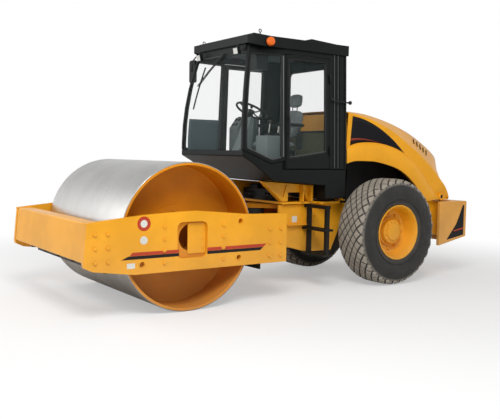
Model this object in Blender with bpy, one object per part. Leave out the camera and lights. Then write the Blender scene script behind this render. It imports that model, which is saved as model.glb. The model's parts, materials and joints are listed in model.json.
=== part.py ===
"""Road roller: an articulated single-drum soil compactor, built at full size in metres.

+X is forward, +Y is left, +Z is up. The origin is on the ground, under the middle of the
machine's length and width. Every moving group hangs from an empty on its joint's axis.
"""
import math

import bmesh
import bpy
from mathutils import Matrix, Vector

for old in list(bpy.data.objects):
    bpy.data.objects.remove(old, do_unlink=True)

GAP = 0.0003                    # between pieces that rest on each other
CLEAR = 0.006                   # between pieces that move past each other

# ---- driving dimensions ----
WHEELBASE = 3.200
DRUM_X = 1.765                  # the drum's axis
AXLE_X = DRUM_X - WHEELBASE
PIVOT_X = (DRUM_X + AXLE_X) / 2  # the frame's hinge is halfway between the axles
YOKE_HALF = 1.150               # outer face of the drum yoke

DRUM_R = 0.816
DRUM_HALF = 1.070
DRUM_WALL = 0.035
DRUM_SIDES = 96
DRUM_Z = DRUM_R * math.cos(math.pi / DRUM_SIDES)
DISH_DEPTH = 0.400              # how far the drum's heads sit inside its ends

TYRE_R = 0.715
TYRE_WIDE = 0.530
TYRE_OUT = 1.130
TYRE_SIDES = 64
AXLE_Z = TYRE_R * math.cos(math.pi / TYRE_SIDES)
RIM_R = 0.350
HUB_R = 0.190

OSCILLATION_Z = 0.790           # the roll axis of the front frame
HITCH_LOW, HITCH_HIGH = 0.565, 1.015
FRAME_HALF = 0.500              # outer face of the rear frame's side plates
FRAME_WALL = 0.040
DECK_LOW, DECK_HIGH = 1.090, 1.120

CAB_BACK = -0.781
CAB_FRONT = 0.868               # windscreen's foot
CAB_HALF = 0.745                # at the sill
CAB_SILL = 1.760
CAB_TOP = 3.055
CAB_WALL = 0.045
DOOR_FRONT, DOOR_BACK = 0.229, -0.480
DOOR_LOW, DOOR_HIGH = 1.551, 2.955

HOOD_FRONT = -0.835
HOOD_HALF = 0.660
HOOD_SKIN = 0.025
HOOD_PIVOT = (-2.532, 1.152)    # x, z of the bonnet's hinge
STEER_Z = 0.640


# ---- materials ----
def material(name, colour, roughness, metallic=0.0, alpha=1.0):
    """A Principled material with plain values."""
    made = bpy.data.materials.new(name)
    made.use_nodes = True
    shader = made.node_tree.nodes["Principled BSDF"]
    shader.inputs["Base Color"].default_value = (*colour, 1.0)
    shader.inputs["Roughness"].default_value = roughness
    shader.inputs["Metallic"].default_value = metallic
    shader.inputs["Alpha"].default_value = alpha
    return made


YELLOW = material("yellow_paint", (0.85, 0.42, 0.03), 0.38)
SAND = material("sand_paint", (0.72, 0.42, 0.10), 0.45)
BLACK = material("black_paint", (0.025, 0.028, 0.027), 0.42)
STEEL = material("rolled_steel", (0.55, 0.55, 0.55), 0.28, 1.0)
CHROME = material("chromed_rod", (0.8, 0.8, 0.8), 0.12, 1.0)
RUBBER = material("tyre_rubber", (0.030, 0.029, 0.027), 0.85)
IRON = material("cast_iron", (0.08, 0.08, 0.085), 0.6, 0.7)
GREY = material("grey_plastic", (0.16, 0.18, 0.18), 0.55)
CLOTH = material("seat_cloth", (0.10, 0.12, 0.13), 0.9)
GLASS = material("clear_glass", (0.9, 0.95, 0.93), 0.03, 0.0, 0.2)


# ---- making objects ----
class Pivot:
    """An empty on a joint's axis, which the pieces of one body hang from."""

    def __init__(self, name, place, parent=None):
        self.place = Vector(place)
        self.empty = bpy.data.objects.new(name, None)
        bpy.context.collection.objects.link(self.empty)
        above = parent.place if parent else Vector((0, 0, 0))
        self.empty.parent = parent.empty if parent else None
        self.empty.location = self.place - above


def part(name, bm, surface, pivot):
    """Turn a world-space bmesh into a named object that hangs from a pivot."""
    bmesh.ops.recalc_face_normals(bm, faces=bm.faces)
    mesh = bpy.data.meshes.new(name)
    bm.to_mesh(mesh)
    bm.free()
    mesh.transform(Matrix.Translation(-pivot.place))
    mesh.materials.append(surface)
    mesh.shade_smooth()
    mesh.set_sharp_from_angle(angle=math.radians(30))
    made = bpy.data.objects.new(name, mesh)
    bpy.context.collection.objects.link(made)
    made.parent = pivot.empty
    return made


def tool(bm):
    """A hidden cutter or filler for a Boolean."""
    made = part("shaping_tool", bm, STEEL, WORLD)
    made.hide_render = True
    made.display_type = "WIRE"
    return made


def boolean(target, kind, *meshes):
    """Cut or join bmeshes into a piece, with live EXACT Booleans."""
    for bm in meshes:
        modifier = target.modifiers.new(kind.lower(), "BOOLEAN")
        modifier.operation = kind
        modifier.solver = "EXACT"
        modifier.object = tool(bm)
    return target


def prism(outline, along, low, high):
    """Extrude a closed outline. along names the axis; the outline holds the other two in order."""
    order = {"X": (1, 2, 0), "Y": (0, 2, 1), "Z": (0, 1, 2)}[along]
    bm = bmesh.new()
    rings = []
    for level in (low, high):
        ring = []
        for first, second in outline:
            place = [0.0, 0.0, 0.0]
            place[order[0]], place[order[1]], place[order[2]] = first, second, level
            ring.append(bm.verts.new(place))
        rings.append(ring)
    bm.faces.new(rings[0])
    bm.faces.new(list(reversed(rings[1])))
    count = len(outline)
    for i in range(count):
        j = (i + 1) % count
        bm.faces.new((rings[0][i], rings[0][j], rings[1][j], rings[1][i]))
    bmesh.ops.recalc_face_normals(bm, faces=bm.faces)
    return bm


def box(x, y, z):
    """A block between two values along each axis."""
    return prism([(x[0], y[0]), (x[1], y[0]), (x[1], y[1]), (x[0], y[1])], "Z", z[0], z[1])


def turned(profile, sides, centre, along="Y"):
    """Turn a closed (radius, offset) profile about an axis, with a flat at the bottom."""
    bm = bmesh.new()
    rings = []
    for radius, offset in profile:
        count = 1 if radius == 0 else sides
        ring = []
        for k in range(count):
            angle = 2 * math.pi * (k + 0.5) / sides - math.pi / 2
            u, v = radius * math.cos(angle), radius * math.sin(angle)
            spot = {"Y": (u, offset, v), "X": (offset, u, v), "Z": (u, v, offset)}[along]
            ring.append(bm.verts.new(Vector(centre) + Vector(spot)))
        rings.append(ring)
    for one, two in zip(rings, rings[1:] + rings[:1]):
        if len(one) == 1 and len(two) == 1:
            continue
        for k in range(sides):
            n = (k + 1) % sides
            corners = [one[k % len(one)], one[n % len(one)], two[n % len(two)], two[k % len(two)]]
            bm.faces.new(list(dict.fromkeys(corners)))
    bmesh.ops.recalc_face_normals(bm, faces=bm.faces)
    return bm


def rod(centre, radius, low, high, along, sides=24):
    """A plain round bar from low to high along an axis, offsets counted from the centre."""
    return turned([(0, low), (radius, low), (radius, high), (0, high)], sides, centre, along)


def arc(centre, radius, start, end, steps):
    """Points on a circle between two angles in degrees, both ends included."""
    angles = [math.radians(start + (end - start) * i / steps) for i in range(steps + 1)]
    return [(centre[0] + radius * math.cos(a), centre[1] + radius * math.sin(a)) for a in angles]


def rounded(x, z, radius, steps=3):
    """A rectangle outline with round corners."""
    corners = (((x[1] - radius, z[1] - radius), 0), ((x[0] + radius, z[1] - radius), 90),
               ((x[0] + radius, z[0] + radius), 180), ((x[1] - radius, z[0] + radius), 270))
    points = []
    for centre, start in corners:
        points += arc(centre, radius, start, start + 90, steps)
    return points


def mirrored(bm):
    """The same shape on the machine's other side."""
    bmesh.ops.scale(bm, vec=(1, -1, 1), verts=bm.verts)
    bmesh.ops.reverse_faces(bm, faces=bm.faces)
    return bm


def sided(bm, side):
    """A shape built on the left, turned over for the right."""
    return bm if side > 0 else mirrored(bm)


def joined(*shapes):
    """Several closed shapes in one bmesh, for one union or cut."""
    whole = bmesh.new()
    for shape in shapes:
        mesh = bpy.data.meshes.new("shape")
        shape.to_mesh(mesh)
        shape.free()
        whole.from_mesh(mesh)
        bpy.data.meshes.remove(mesh)
    return whole


SIDES = (("left", 1), ("right", -1))
WORLD = Pivot("machine", (0, 0, 0))
ARTICULATION = Pivot("articulation_axis", (PIVOT_X, 0, 0.79), WORLD)
OSCILLATION = Pivot("oscillation_axis", (PIVOT_X + 0.3, 0, OSCILLATION_Z), ARTICULATION)
DRUM_AXIS = Pivot("drum_axis", (DRUM_X, 0, DRUM_Z), OSCILLATION)
HOOD_AXIS = Pivot("hood_axis", (HOOD_PIVOT[0], 0, HOOD_PIVOT[1]), WORLD)


# ---- the drum and its yoke ----
def build_drum():
    """A rolled shell with a dished head let into each end, round a bare exciter tube."""
    centre = (DRUM_X, 0, DRUM_Z)
    inner = DRUM_R - DRUM_WALL
    shell = [(inner, -DRUM_HALF), (DRUM_R, -DRUM_HALF), (DRUM_R, DRUM_HALF), (inner, DRUM_HALF)]
    part("drum_shell", turned(shell, DRUM_SIDES, centre), STEEL, DRUM_AXIS)
    face = DRUM_HALF - DISH_DEPTH
    head = [(0, face - 0.030), (inner - GAP, face - 0.030), (inner - GAP, face), (0.200, face),
            (0.170, face + 0.070), (0, face + 0.070)]
    for name, side in SIDES:
        bm = sided(turned(head, DRUM_SIDES, centre), side)
        part(f"drum_head_{name}", bm, YELLOW, DRUM_AXIS)
    half = face - 0.030 - GAP
    part("exciter_tube", rod(centre, 0.230, -half, half, "Y", 32), IRON, DRUM_AXIS)


YOKE_WALL = 0.050
YOKE_IN = YOKE_HALF - YOKE_WALL
YOKE_BACK = DRUM_X - 1.271
BEAM_FOOT = 0.617
YOKE_OUTLINE = [                # x from the drum's axis, z
    (1.205, 1.021), (0.588, 1.082), (0.165, 1.104), (-0.044, 1.108), (-0.735, 1.048),
    (-1.271, 1.040), (-1.271, 0.470), (0.693, 0.467), (1.141, 0.530), (1.235, 0.575),
    (1.243, BEAM_FOOT)]
WINDOW_X = (DRUM_X - 0.184, DRUM_X + 0.188)
WINDOW_Z = (0.600, 0.990)
SUPPORT_X, SUPPORT_Z = 0.430, 0.235
TIE_HOLES = ((0.606, 0.568), (-0.593, 0.565), (-0.611, 0.975))  # x from the drum's axis, z


def build_yoke():
    """Two side plates, the front beam and the rear cross member, with the drum's supports."""
    outline = [(DRUM_X + x, z) for x, z in YOKE_OUTLINE]
    inner_beam = [(2.775, 0.610), (DRUM_X + 1.238, BEAM_FOOT), (DRUM_X + 1.200, 1.018),
                  (2.790, 1.018)]
    part("front_beam", prism(inner_beam, "Y", -YOKE_IN + GAP, YOKE_IN - GAP), YELLOW, OSCILLATION)
    for name, side in SIDES:
        plate = part(f"yoke_plate_{name}", sided(prism(outline, "Y", YOKE_IN, YOKE_HALF), side),
                     YELLOW, OSCILLATION)
        window = prism(rounded(WINDOW_X, WINDOW_Z, 0.060), "Y", YOKE_IN - 0.1, YOKE_HALF + 0.1)
        holes = [rod((DRUM_X + x, 0, z), 0.030, YOKE_IN - 0.1, YOKE_HALF + 0.1, "Y", 16)
                 for x, z in TIE_HOLES]
        boolean(plate, "DIFFERENCE", sided(window, side), *[sided(h, side) for h in holes])
        # the drum's support: a bolted plate and a bearing housing that reaches into the dish
        flange = YOKE_IN - GAP
        hub = [(0.150, 0.800), (0, 0.800), (0, 0.752), (0.240, 0.752), (0.240, flange - 0.02),
               (0.150, flange - 0.02)]
        support = part(f"drum_support_{name}",
                       sided(turned(hub, 32, (DRUM_X, 0, DRUM_Z)), side), IRON, OSCILLATION)
        bolted = prism(rounded((DRUM_X - SUPPORT_X, DRUM_X + SUPPORT_X - 0.02),
                               (DRUM_Z - SUPPORT_Z - 0.05, DRUM_Z + SUPPORT_Z - 0.05), 0.05),
                       "Y", flange - 0.045, flange)
        eye = rod((DRUM_X, 0, DRUM_Z), 0.150, flange - 0.1, flange + 0.1, "Y", 32)
        boolean(support, "UNION", sided(bolted, side))
        boolean(support, "DIFFERENCE", sided(eye, side))
    cross = part("rear_cross_member",
                 box((0.545, 0.765), (-YOKE_IN + GAP, YOKE_IN - GAP), (0.520, 0.985)),
                 YELLOW, OSCILLATION)
    bearing = rod((0, 0, OSCILLATION_Z), 0.190, 0.466, 0.600, "X", 32)
    boolean(cross, "UNION", bearing)


def build_scrapers():
    """A scraper bar across the drum in front and behind, hung from the cross pieces."""
    rows = (                    # name, bar x, bar z, hanger x low, hanger x high, hanger top
        ("scraper_front", 2.730, 0.540, 2.720, 2.870, 0.6090),
        ("scraper_rear", 0.800, 0.440, 0.640, 0.812, 0.5195))
    for name, bar_x, bar_z, low, high, top in rows:
        bar = part(name, box((bar_x - 0.012, bar_x + 0.012), (-1.040, 1.040),
                             (bar_z - 0.055, bar_z + 0.030)), BLACK, OSCILLATION)
        hangers = [box((low, high), (y - 0.030, y + 0.030), (bar_z + 0.005, top))
                   for y in (-0.88, -0.44, 0.0, 0.44, 0.88)]
        boolean(bar, "UNION", joined(*hangers))


# ---- the hitch and the steering cylinders ----
EAR = (0.120, 0.330)            # rod eye on the hitch, from the pivot
BARREL = (-0.620, 0.250)        # barrel pin on the rear frame, from the pivot
EYE_HALF = 0.040


def build_hitch():
    """The centre block: a bore on the steering pin, a roll flange and two pairs of ears."""
    hitch = part("centre_hitch", rod((PIVOT_X, 0, 0), 0.130, HITCH_LOW, HITCH_HIGH, "Z", 32),
                 IRON, ARTICULATION)
    arm = box((PIVOT_X + 0.02, 0.430), (-0.120, 0.120), (0.640, 0.940))
    flange = rod((0, 0, OSCILLATION_Z), 0.190, 0.400, 0.460, "X", 32)
    ears = []
    for _, side in SIDES:
        for low, high in ((STEER_Z - 0.066, STEER_Z - 0.046), (STEER_Z + 0.046, STEER_Z + 0.066)):
            tip = arc((PIVOT_X + EAR[0], EAR[1]), 0.055, -20, 160, 8)
            root = [(PIVOT_X - 0.060, 0.050), (PIVOT_X + 0.130, 0.050)]
            ears.append(sided(prism(root + tip, "Z", low, high), side))
    pin = rod((PIVOT_X, 0, 0), 0.052, HITCH_LOW - 0.1, HITCH_HIGH + 0.1, "Z", 24)
    boolean(hitch, "UNION", arm, flange, *ears)
    boolean(hitch, "DIFFERENCE", pin)


def turned_between(profile, start, heading, sides):
    """A turned shape whose axis runs level from a start point along a heading."""
    bm = turned(profile, sides, (0, 0, 0), "X")
    place = Matrix.Translation(start) @ Matrix.Rotation(heading, 4, "Z")
    bmesh.ops.transform(bm, matrix=place, verts=bm.verts)
    return bm


def build_cylinders():
    """Each steering cylinder is a barrel pinned to the frame and a rod whose eye is open."""
    start = Vector((PIVOT_X + BARREL[0], BARREL[1], STEER_Z))
    end = Vector((PIVOT_X + EAR[0], EAR[1], STEER_Z))
    heading = math.atan2(end.y - start.y, end.x - start.x)
    length = (end - start).length
    mouth = 0.470
    barrel = [(0, 0.030), (0.052, 0.030), (0.052, mouth), (0.027, mouth), (0.027, 0.060),
              (0, 0.060)]
    rod_shape = [(0, 0.250), (0.022, 0.250), (0.022, length - 0.030), (0, length - 0.030)]
    for name, side in SIDES:
        foot = Vector((start.x, start.y * side, STEER_Z))
        pivot = Pivot(f"steering_pin_{name}", foot, WORLD)
        body = part(f"steering_barrel_{name}",
                    sided(turned_between(barrel, start, heading, 24), side), BLACK, pivot)
        boss = rod((start.x, start.y, STEER_Z), 0.045, -EYE_HALF, EYE_HALF, "Z")
        boolean(body, "UNION", sided(boss, side))
        piston = part(f"steering_rod_{name}",
                      sided(turned_between(rod_shape, start, heading, 20), side), CHROME, pivot)
        eye = rod((end.x, end.y, STEER_Z), 0.040, -EYE_HALF, EYE_HALF, "Z")
        boolean(piston, "UNION", sided(eye, side))


# ---- the rear frame ----
FRAME_OUTLINE = [               # x, z; the lower edge arches over the axle
    (0.125, 1.080), (0.125, 0.570), (-0.005, 0.535), (-0.315, 0.455), (-0.760, 0.450),
    (-0.960, 0.865), (-1.890, 0.865), (-2.140, 0.580), (-2.679, 0.570), (-2.679, 0.945),
    (-2.520, 0.945), (-2.470, 1.080)]


def build_rear_frame():
    """Side plates, nose with its two lugs and the steering pin, deck, and cab mounts."""
    inner = FRAME_HALF - FRAME_WALL
    for name, side in SIDES:
        part(f"frame_side_{name}", sided(prism(FRAME_OUTLINE, "Y", inner, FRAME_HALF), side),
             YELLOW, WORLD)
    wall = inner - GAP
    nose = part("frame_nose", box((-0.560, -0.520), (-wall, wall), (0.470, 1.070)), YELLOW, WORLD)
    for low, high in ((HITCH_LOW - 0.060, HITCH_LOW - CLEAR),
                      (HITCH_HIGH + CLEAR, HITCH_HIGH + 0.060)):
        lug = [(-0.540, -0.400), (-0.100, -0.400)] + arc((PIVOT_X, 0), 0.130, -60, 60, 10) + [
            (-0.100, 0.400), (-0.540, 0.400)]
        boolean(nose, "UNION", prism(lug, "Z", low, high))
    boolean(nose, "UNION", rod((PIVOT_X, 0, 0), 0.045, HITCH_LOW - 0.05, HITCH_HIGH + 0.05, "Z"))
    # forks that hold the steering barrels' pins
    for _, side in SIDES:
        for low in (STEER_Z - 0.080, STEER_Z + 0.060):
            ear = box((-0.530, -0.400), (0.190, 0.310), (low, low + 0.020))
            boolean(nose, "UNION", sided(ear, side))
    deck = part("frame_deck", box((-0.790, 0.110), (-0.545, 0.545), (DECK_LOW, DECK_HIGH)),
                YELLOW, WORLD)
    rear_deck = box((-0.780, -0.450), (-0.640, 0.640), (DECK_LOW, DECK_HIGH))
    boolean(deck, "UNION", rear_deck)


MOUNT_OUTLINE = [               # x, z of one cab mount's side view
    (0.420, 1.3905), (-0.420, 1.3310), (-0.420, DECK_HIGH + GAP), (-0.330, DECK_HIGH + GAP),
    (-0.260, 1.240), (0.010, 1.240), (0.030, DECK_HIGH + GAP), (0.100, DECK_HIGH + GAP)]


def build_cab_mounts():
    """A ribbed rail on each side carries the cab over the deck."""
    for name, side in SIDES:
        rail = prism(MOUNT_OUTLINE, "Y", 0.440, 0.520)
        part(f"cab_mount_{name}", sided(rail, side), YELLOW, WORLD)


def build_rear_axle():
    """The axle housing with its differential, ending at the wheels' hubs."""
    end = TYRE_OUT - 0.330
    profile = [(0, -end), (0.105, -end), (0.105, -0.300), (0.150, -0.240), (0.225, -0.130),
               (0.225, 0.130), (0.150, 0.240), (0.105, 0.300), (0.105, end), (0, end)]
    axle = part("rear_axle", turned(profile, 24, (AXLE_X, 0, AXLE_Z - 0.100)), IRON, WORLD)
    return axle


def build_wheels():
    """Two wheels: a tyre with square shoulders and a deep dished rim on each."""
    low, high = TYRE_OUT - TYRE_WIDE, TYRE_OUT
    tread = [(TYRE_R - 0.020, low + 0.050), (TYRE_R, low + 0.110), (TYRE_R, high - 0.110),
             (TYRE_R - 0.020, high - 0.050), (TYRE_R - 0.075, high - 0.006),
             (TYRE_R - 0.190, high), (RIM_R + 0.030, high - 0.035), (RIM_R, high - 0.060),
             (RIM_R, low + 0.060), (RIM_R + 0.030, low + 0.035), (TYRE_R - 0.190, low),
             (TYRE_R - 0.075, low + 0.006)]
    seat = RIM_R - GAP
    web = high - 0.260
    dish = [(0, web - 0.050), (seat - 0.030, web - 0.050), (seat - 0.030, low + 0.075),
            (seat, low + 0.075), (seat, high - 0.062), (seat - 0.022, high - 0.062),
            (seat - 0.045, high - 0.110), (seat - 0.075, web), (HUB_R, web),
            (HUB_R - 0.020, web + 0.090), (0, web + 0.090)]
    for name, side in SIDES:
        centre = (AXLE_X, 0, AXLE_Z)
        pivot = Pivot(f"wheel_axis_{name}", (AXLE_X, side * (high - TYRE_WIDE / 2), AXLE_Z), WORLD)
        part(f"tyre_{name}", sided(turned(tread, TYRE_SIDES, centre), side), RUBBER, pivot)
        part(f"rim_{name}", sided(turned(dish, TYRE_SIDES, centre), side), YELLOW, pivot)


WEIGHT_FRONT, WEIGHT_BACK = -2.435, -3.015
WEIGHT_HALF, CHEEK = 0.935, 0.060


def build_counterweight():
    """A cast tail weight whose cheeks leave a pocket for the bonnet's corner."""
    side_view = [(WEIGHT_FRONT, 1.090), (WEIGHT_FRONT, 0.455), (WEIGHT_BACK, 0.565),
                 (WEIGHT_BACK, 1.090)]
    weight = part("counterweight", prism(side_view, "Y", -WEIGHT_HALF, WEIGHT_HALF), SAND, WORLD)
    inside = WEIGHT_HALF - CHEEK
    pocket = box((-2.840, -2.000), (-inside, inside), (0.945, 1.200))
    bay = box((-2.679 - GAP, -2.000), (-inside, inside), (0.300, 1.200))
    boolean(weight, "DIFFERENCE", pocket, bay)


def build_engine():
    """The engine as one plain block, and the radiator behind it."""
    part("engine_block", box((-2.180, -1.180), (-0.330, 0.330), (0.900, 1.720)), IRON, WORLD)
    part("radiator", box((-2.440, -2.320), (-0.440, 0.440), (0.960, 1.700)), BLACK, WORLD)


# ---- the bonnet ----
CREST = [                       # x, z of the bonnet's top line, front to back
    (HOOD_FRONT, 2.310), (-1.290, 2.270), (-1.690, 2.175), (-2.090, 2.015), (-2.615, 1.740),
    (-2.700, 1.640)]
ARCH = [                        # x, z of the wheel arch, back to front
    (-2.170, 1.115), (-1.975, 1.346), (-1.706, 1.542), (-1.375, 1.640), (-0.970, 1.655),
    (HOOD_FRONT, 1.620)]
CREASE = [                      # x, z of the wing's upper edge, front to back
    (HOOD_FRONT, 2.245), (-1.040, 2.230), (-1.290, 2.175), (-1.960, 1.880), (-2.420, 1.450),
    (-2.640, 1.240), (-2.690, 1.115)]


def wing_reach(x):
    """How far out the wing stands: flush with the cab in front, wider over the wheel."""
    along = min(max((HOOD_FRONT - x) / 1.30, 0.0), 1.0)
    return 0.700 + 0.160 * along * along * (3 - 2 * along)


def build_hood():
    """A one-piece bonnet: a hollow body with a flared wing over each wheel."""
    tail = [(-2.703, 1.160), (-2.690, 1.115)]
    body = CREST + tail + ARCH
    hood = part("hood", prism(body, "Y", -HOOD_HALF, HOOD_HALF), YELLOW, HOOD_AXIS)
    for _, side in SIDES:
        wing = prism(CREASE + ARCH, "Y", HOOD_HALF - 0.02, 0.700)
        for vert in wing.verts:
            if vert.co.y > HOOD_HALF:
                vert.co.y = wing_reach(vert.co.x)
        bmesh.ops.triangulate(wing, faces=wing.faces)
        boolean(hood, "UNION", sided(wing, side))
    skin = HOOD_SKIN
    hollow = [(HOOD_FRONT + 0.1, 2.310 - skin)] + [(x + 0.4 * skin, z - skin) for x, z in CREST[:-1]]
    hollow += [(-2.700 + skin, 1.640 - skin), (-2.700 + skin, 0.900), (HOOD_FRONT + 0.1, 0.900)]
    inside = HOOD_HALF - skin
    boolean(hood, "DIFFERENCE", prism(hollow, "Y", -inside, inside))


# ---- the cab ----
BASE_OUTLINE = [                # x, z of the cab's floor tub
    (CAB_FRONT, 1.773), (CAB_FRONT, 1.700), (0.715, 1.617), (0.409, 1.402), (-0.350, 1.340),
    (-0.435, 1.335), (-0.435, 1.165), (CAB_BACK, 1.165), (CAB_BACK, 1.545), (0.265, 1.545),
    (0.265, 1.645), (0.440, 1.612)]
SILL = [(CAB_FRONT, 1.773), (0.440, 1.612), (0.265, 1.645)]
FLOOR = 1.460


def side_lean(z):
    """How far the side walls lean in at a height."""
    return 0.045 * (z - CAB_SILL) / 1.190


def lean(bm):
    """Bend a flat cab panel: its sides lean in, and its front corner is drawn back and in."""
    span = CAB_FRONT - DOOR_FRONT
    for vert in bm.verts:
        x, y, z = vert.co
        rise = (z - CAB_SILL) / 1.190
        bow = max(rise, 0.0) ** 2
        front = min(max((x - DOOR_FRONT) / span, 0.0), 1.0)
        inward = side_lean(z) + front * (0.127 * bow - 0.045 * max(rise, 0.0))
        vert.co.x = x - front * 0.145 * max((z - 1.860) / 1.090, 0.0) ** 2
        vert.co.y = y - inward
    return bm


def sliced(bm, heights, stations=()):
    """Add edge loops at some heights and stations, so that a bend has points to follow."""
    for axis, values in ((2, heights), (0, stations)):
        for value in values:
            point, normal = Vector((0, 0, 0)), Vector((0, 0, 0))
            point[axis], normal[axis] = value, 1.0
            everything = bm.verts[:] + bm.edges[:] + bm.faces[:]
            bmesh.ops.bisect_plane(bm, geom=everything, plane_co=point, plane_no=normal)
    return bm


def panel(outline, holes, low, high):
    """A flat wall between two y values, with holes cut through, bent to the cab's shape."""
    slab = bpy.data.objects.new("slab", bpy.data.meshes.new("slab"))
    bpy.context.collection.objects.link(slab)
    shape = prism(outline, "Y", low, high)
    shape.to_mesh(slab.data)
    shape.free()
    cutters = []
    for hole in holes:
        cutter = bpy.data.objects.new("hole", bpy.data.meshes.new("hole"))
        bpy.context.collection.objects.link(cutter)
        shape = prism(hole, "Y", low - 0.1, high + 0.1)
        shape.to_mesh(cutter.data)
        shape.free()
        modifier = slab.modifiers.new("hole", "BOOLEAN")
        modifier.operation = "DIFFERENCE"
        modifier.object = cutter
        cutters.append(cutter)
    bpy.context.view_layer.update()
    evaluated = slab.evaluated_get(bpy.context.evaluated_depsgraph_get())
    bm = bmesh.new()
    bm.from_mesh(evaluated.to_mesh())
    evaluated.to_mesh_clear()
    for made in (slab, *cutters):
        bpy.data.objects.remove(made, do_unlink=True)
    sliced(bm, (1.86, 2.10, 2.33, 2.58, 2.80), (DOOR_FRONT - 0.010, 0.40, 0.60, 0.75))
    bmesh.ops.triangulate(bm, faces=bm.faces)
    return lean(bm)


PANE_OUTLINE = [                # x, z of the fixed front side pane
    (0.815, 1.795), (0.440, 1.650), (0.285, 1.680), (0.285, 2.940), (0.815, 2.940)]
DOOR_PANE = [                   # x, z of the door's pane
    (0.173, 1.673), (0.173, 2.905), (-0.424, 2.905), (-0.424, 1.756)]


def inset(outline, distance):
    """Move an outline's points towards its middle by about a distance."""
    cx = sum(p[0] for p in outline) / len(outline)
    cz = sum(p[1] for p in outline) / len(outline)
    moved = []
    for x, z in outline:
        away = math.hypot(x - cx, z - cz)
        moved.append((x - distance * (x - cx) / away, z - distance * (z - cz) / away))
    return moved


def build_cab_sides():
    """Each side wall holds the A, B and C posts, a fixed pane and a door hinged at the back."""
    outer, inner = CAB_HALF, CAB_HALF - CAB_WALL
    wall = [(CAB_FRONT, 1.773 + GAP), (0.440, 1.612 + GAP), (0.265, 1.645 + GAP),
            (DOOR_FRONT + CLEAR, 1.645 + GAP), (DOOR_FRONT + CLEAR, DOOR_HIGH + CLEAR),
            (DOOR_BACK - CLEAR, DOOR_HIGH + CLEAR), (DOOR_BACK - CLEAR, 1.545 + GAP),
            (CAB_BACK, 1.545 + GAP), (CAB_BACK, CAB_TOP), (CAB_FRONT, CAB_TOP)]
    door = [(DOOR_FRONT, DOOR_LOW), (DOOR_FRONT, DOOR_HIGH), (DOOR_BACK, DOOR_HIGH),
            (DOOR_BACK, DOOR_LOW)]
    for name, side in SIDES:
        part(f"cab_side_{name}", sided(panel(wall, [PANE_OUTLINE], inner, outer), side),
             BLACK, WORLD)
        middle = outer - 0.020
        pane = panel(inset(PANE_OUTLINE, 0.001), [], middle, middle + 0.006)
        part(f"side_glass_{name}", sided(pane, side), GLASS, WORLD)
        hinge = Pivot(f"door_hinge_{name}", (DOOR_BACK - 0.004, side * 0.775, 2.25), WORLD)
        part(f"door_{name}", sided(panel(door, [DOOR_PANE], inner, outer), side), BLACK, hinge)
        pane = panel(inset(DOOR_PANE, 0.001), [], middle, middle + 0.006)
        part(f"door_glass_{name}", sided(pane, side), GLASS, hinge)


def front_x(z):
    """Where the windscreen's line stands at a height."""
    return CAB_FRONT - 0.145 * max((z - 1.860) / 1.090, 0.0) ** 2


def front_half(z):
    """Half width of the cab's front corner at a height."""
    rise = (z - CAB_SILL) / 1.190
    return CAB_HALF - (0.127 * max(rise, 0.0) ** 2 if rise > 0 else 0.045 * rise)


def build_windscreen():
    """A sheet that stands upright at its foot and curves back under the roof."""
    heights = [1.775, 1.860, 2.050, 2.250, 2.450, 2.650, 2.850, 2.965]
    bm = bmesh.new()
    sheets = []
    for depth in (0.012, 0.020):
        rows = []
        for z in heights:
            half = front_half(z) - CAB_WALL - 0.006
            rows.append([bm.verts.new((front_x(z) - depth, y, z)) for y in (-half, half)])
        sheets.append(rows)
    front, back = sheets
    for i in range(len(heights) - 1):
        bm.faces.new((front[i][0], front[i][1], front[i + 1][1], front[i + 1][0]))
        bm.faces.new((back[i][1], back[i][0], back[i + 1][0], back[i + 1][1]))
        for edge in (0, 1):
            bm.faces.new((front[i][edge], front[i + 1][edge], back[i + 1][edge], back[i][edge]))
    for end in (0, -1):
        bm.faces.new((front[end][0], front[end][1], back[end][1], back[end][0]))
    bmesh.ops.recalc_face_normals(bm, faces=bm.faces)
    part("windscreen", bm, GLASS, WORLD)


ROOF_PLAN = [                   # x, y of the roof's left edge, front to back
    (0.747, 0.634), (0.575, 0.725), (-0.787, 0.725)]
ROOF_LOW, ROOF_EDGE = CAB_TOP + GAP, 3.150


def build_cab_shell():
    """Floor tub, back wall with its window, and the roof with a raised box at the back."""
    base = part("cab_base", prism(BASE_OUTLINE, "Y", -CAB_HALF, CAB_HALF), BLACK, WORLD)
    inner = CAB_HALF - CAB_WALL
    tub = [(0.823, 1.900), (0.823, 1.720), (0.690, 1.660), (0.430, FLOOR), (-0.735, FLOOR),
           (-0.735, 1.900)]
    boolean(base, "DIFFERENCE", prism(tub, "Y", -inner, inner))
    foot, head = [(inner - side_lean(z) - GAP, z) for z in (1.545 + GAP, CAB_TOP)]
    wall = [foot, head, (-head[0], head[1]), (-foot[0], foot[1])]
    back = part("cab_back", prism(wall, "X", CAB_BACK, CAB_BACK + CAB_WALL), BLACK, WORLD)
    window = prism(rounded((-0.480, 0.480), (2.060, 2.880), 0.06), "X", -1.0, -0.5)
    boolean(back, "DIFFERENCE", window)
    sheet = prism(rounded((-0.4795, 0.4795), (2.0605, 2.8795), 0.06), "X", -0.762, -0.756)
    part("rear_glass", sheet, GLASS, WORLD)
    plan = ROOF_PLAN + [(x, -y) for x, y in reversed(ROOF_PLAN)]
    roof = part("cab_roof", prism(plan, "Z", ROOF_LOW, ROOF_EDGE), BLACK, WORLD)
    crown = prism([(0.700, 3.120), (0.660, 3.180), (-0.050, 3.145), (-0.235, 3.195),
                   (-0.787, 3.160), (-0.787, 3.120)], "Y", -0.640, 0.640)
    header = box((0.640, front_x(2.97) - 0.010), (-0.540, 0.540), (2.972, ROOF_LOW + 0.01))
    boolean(roof, "UNION", crown, header)


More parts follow.
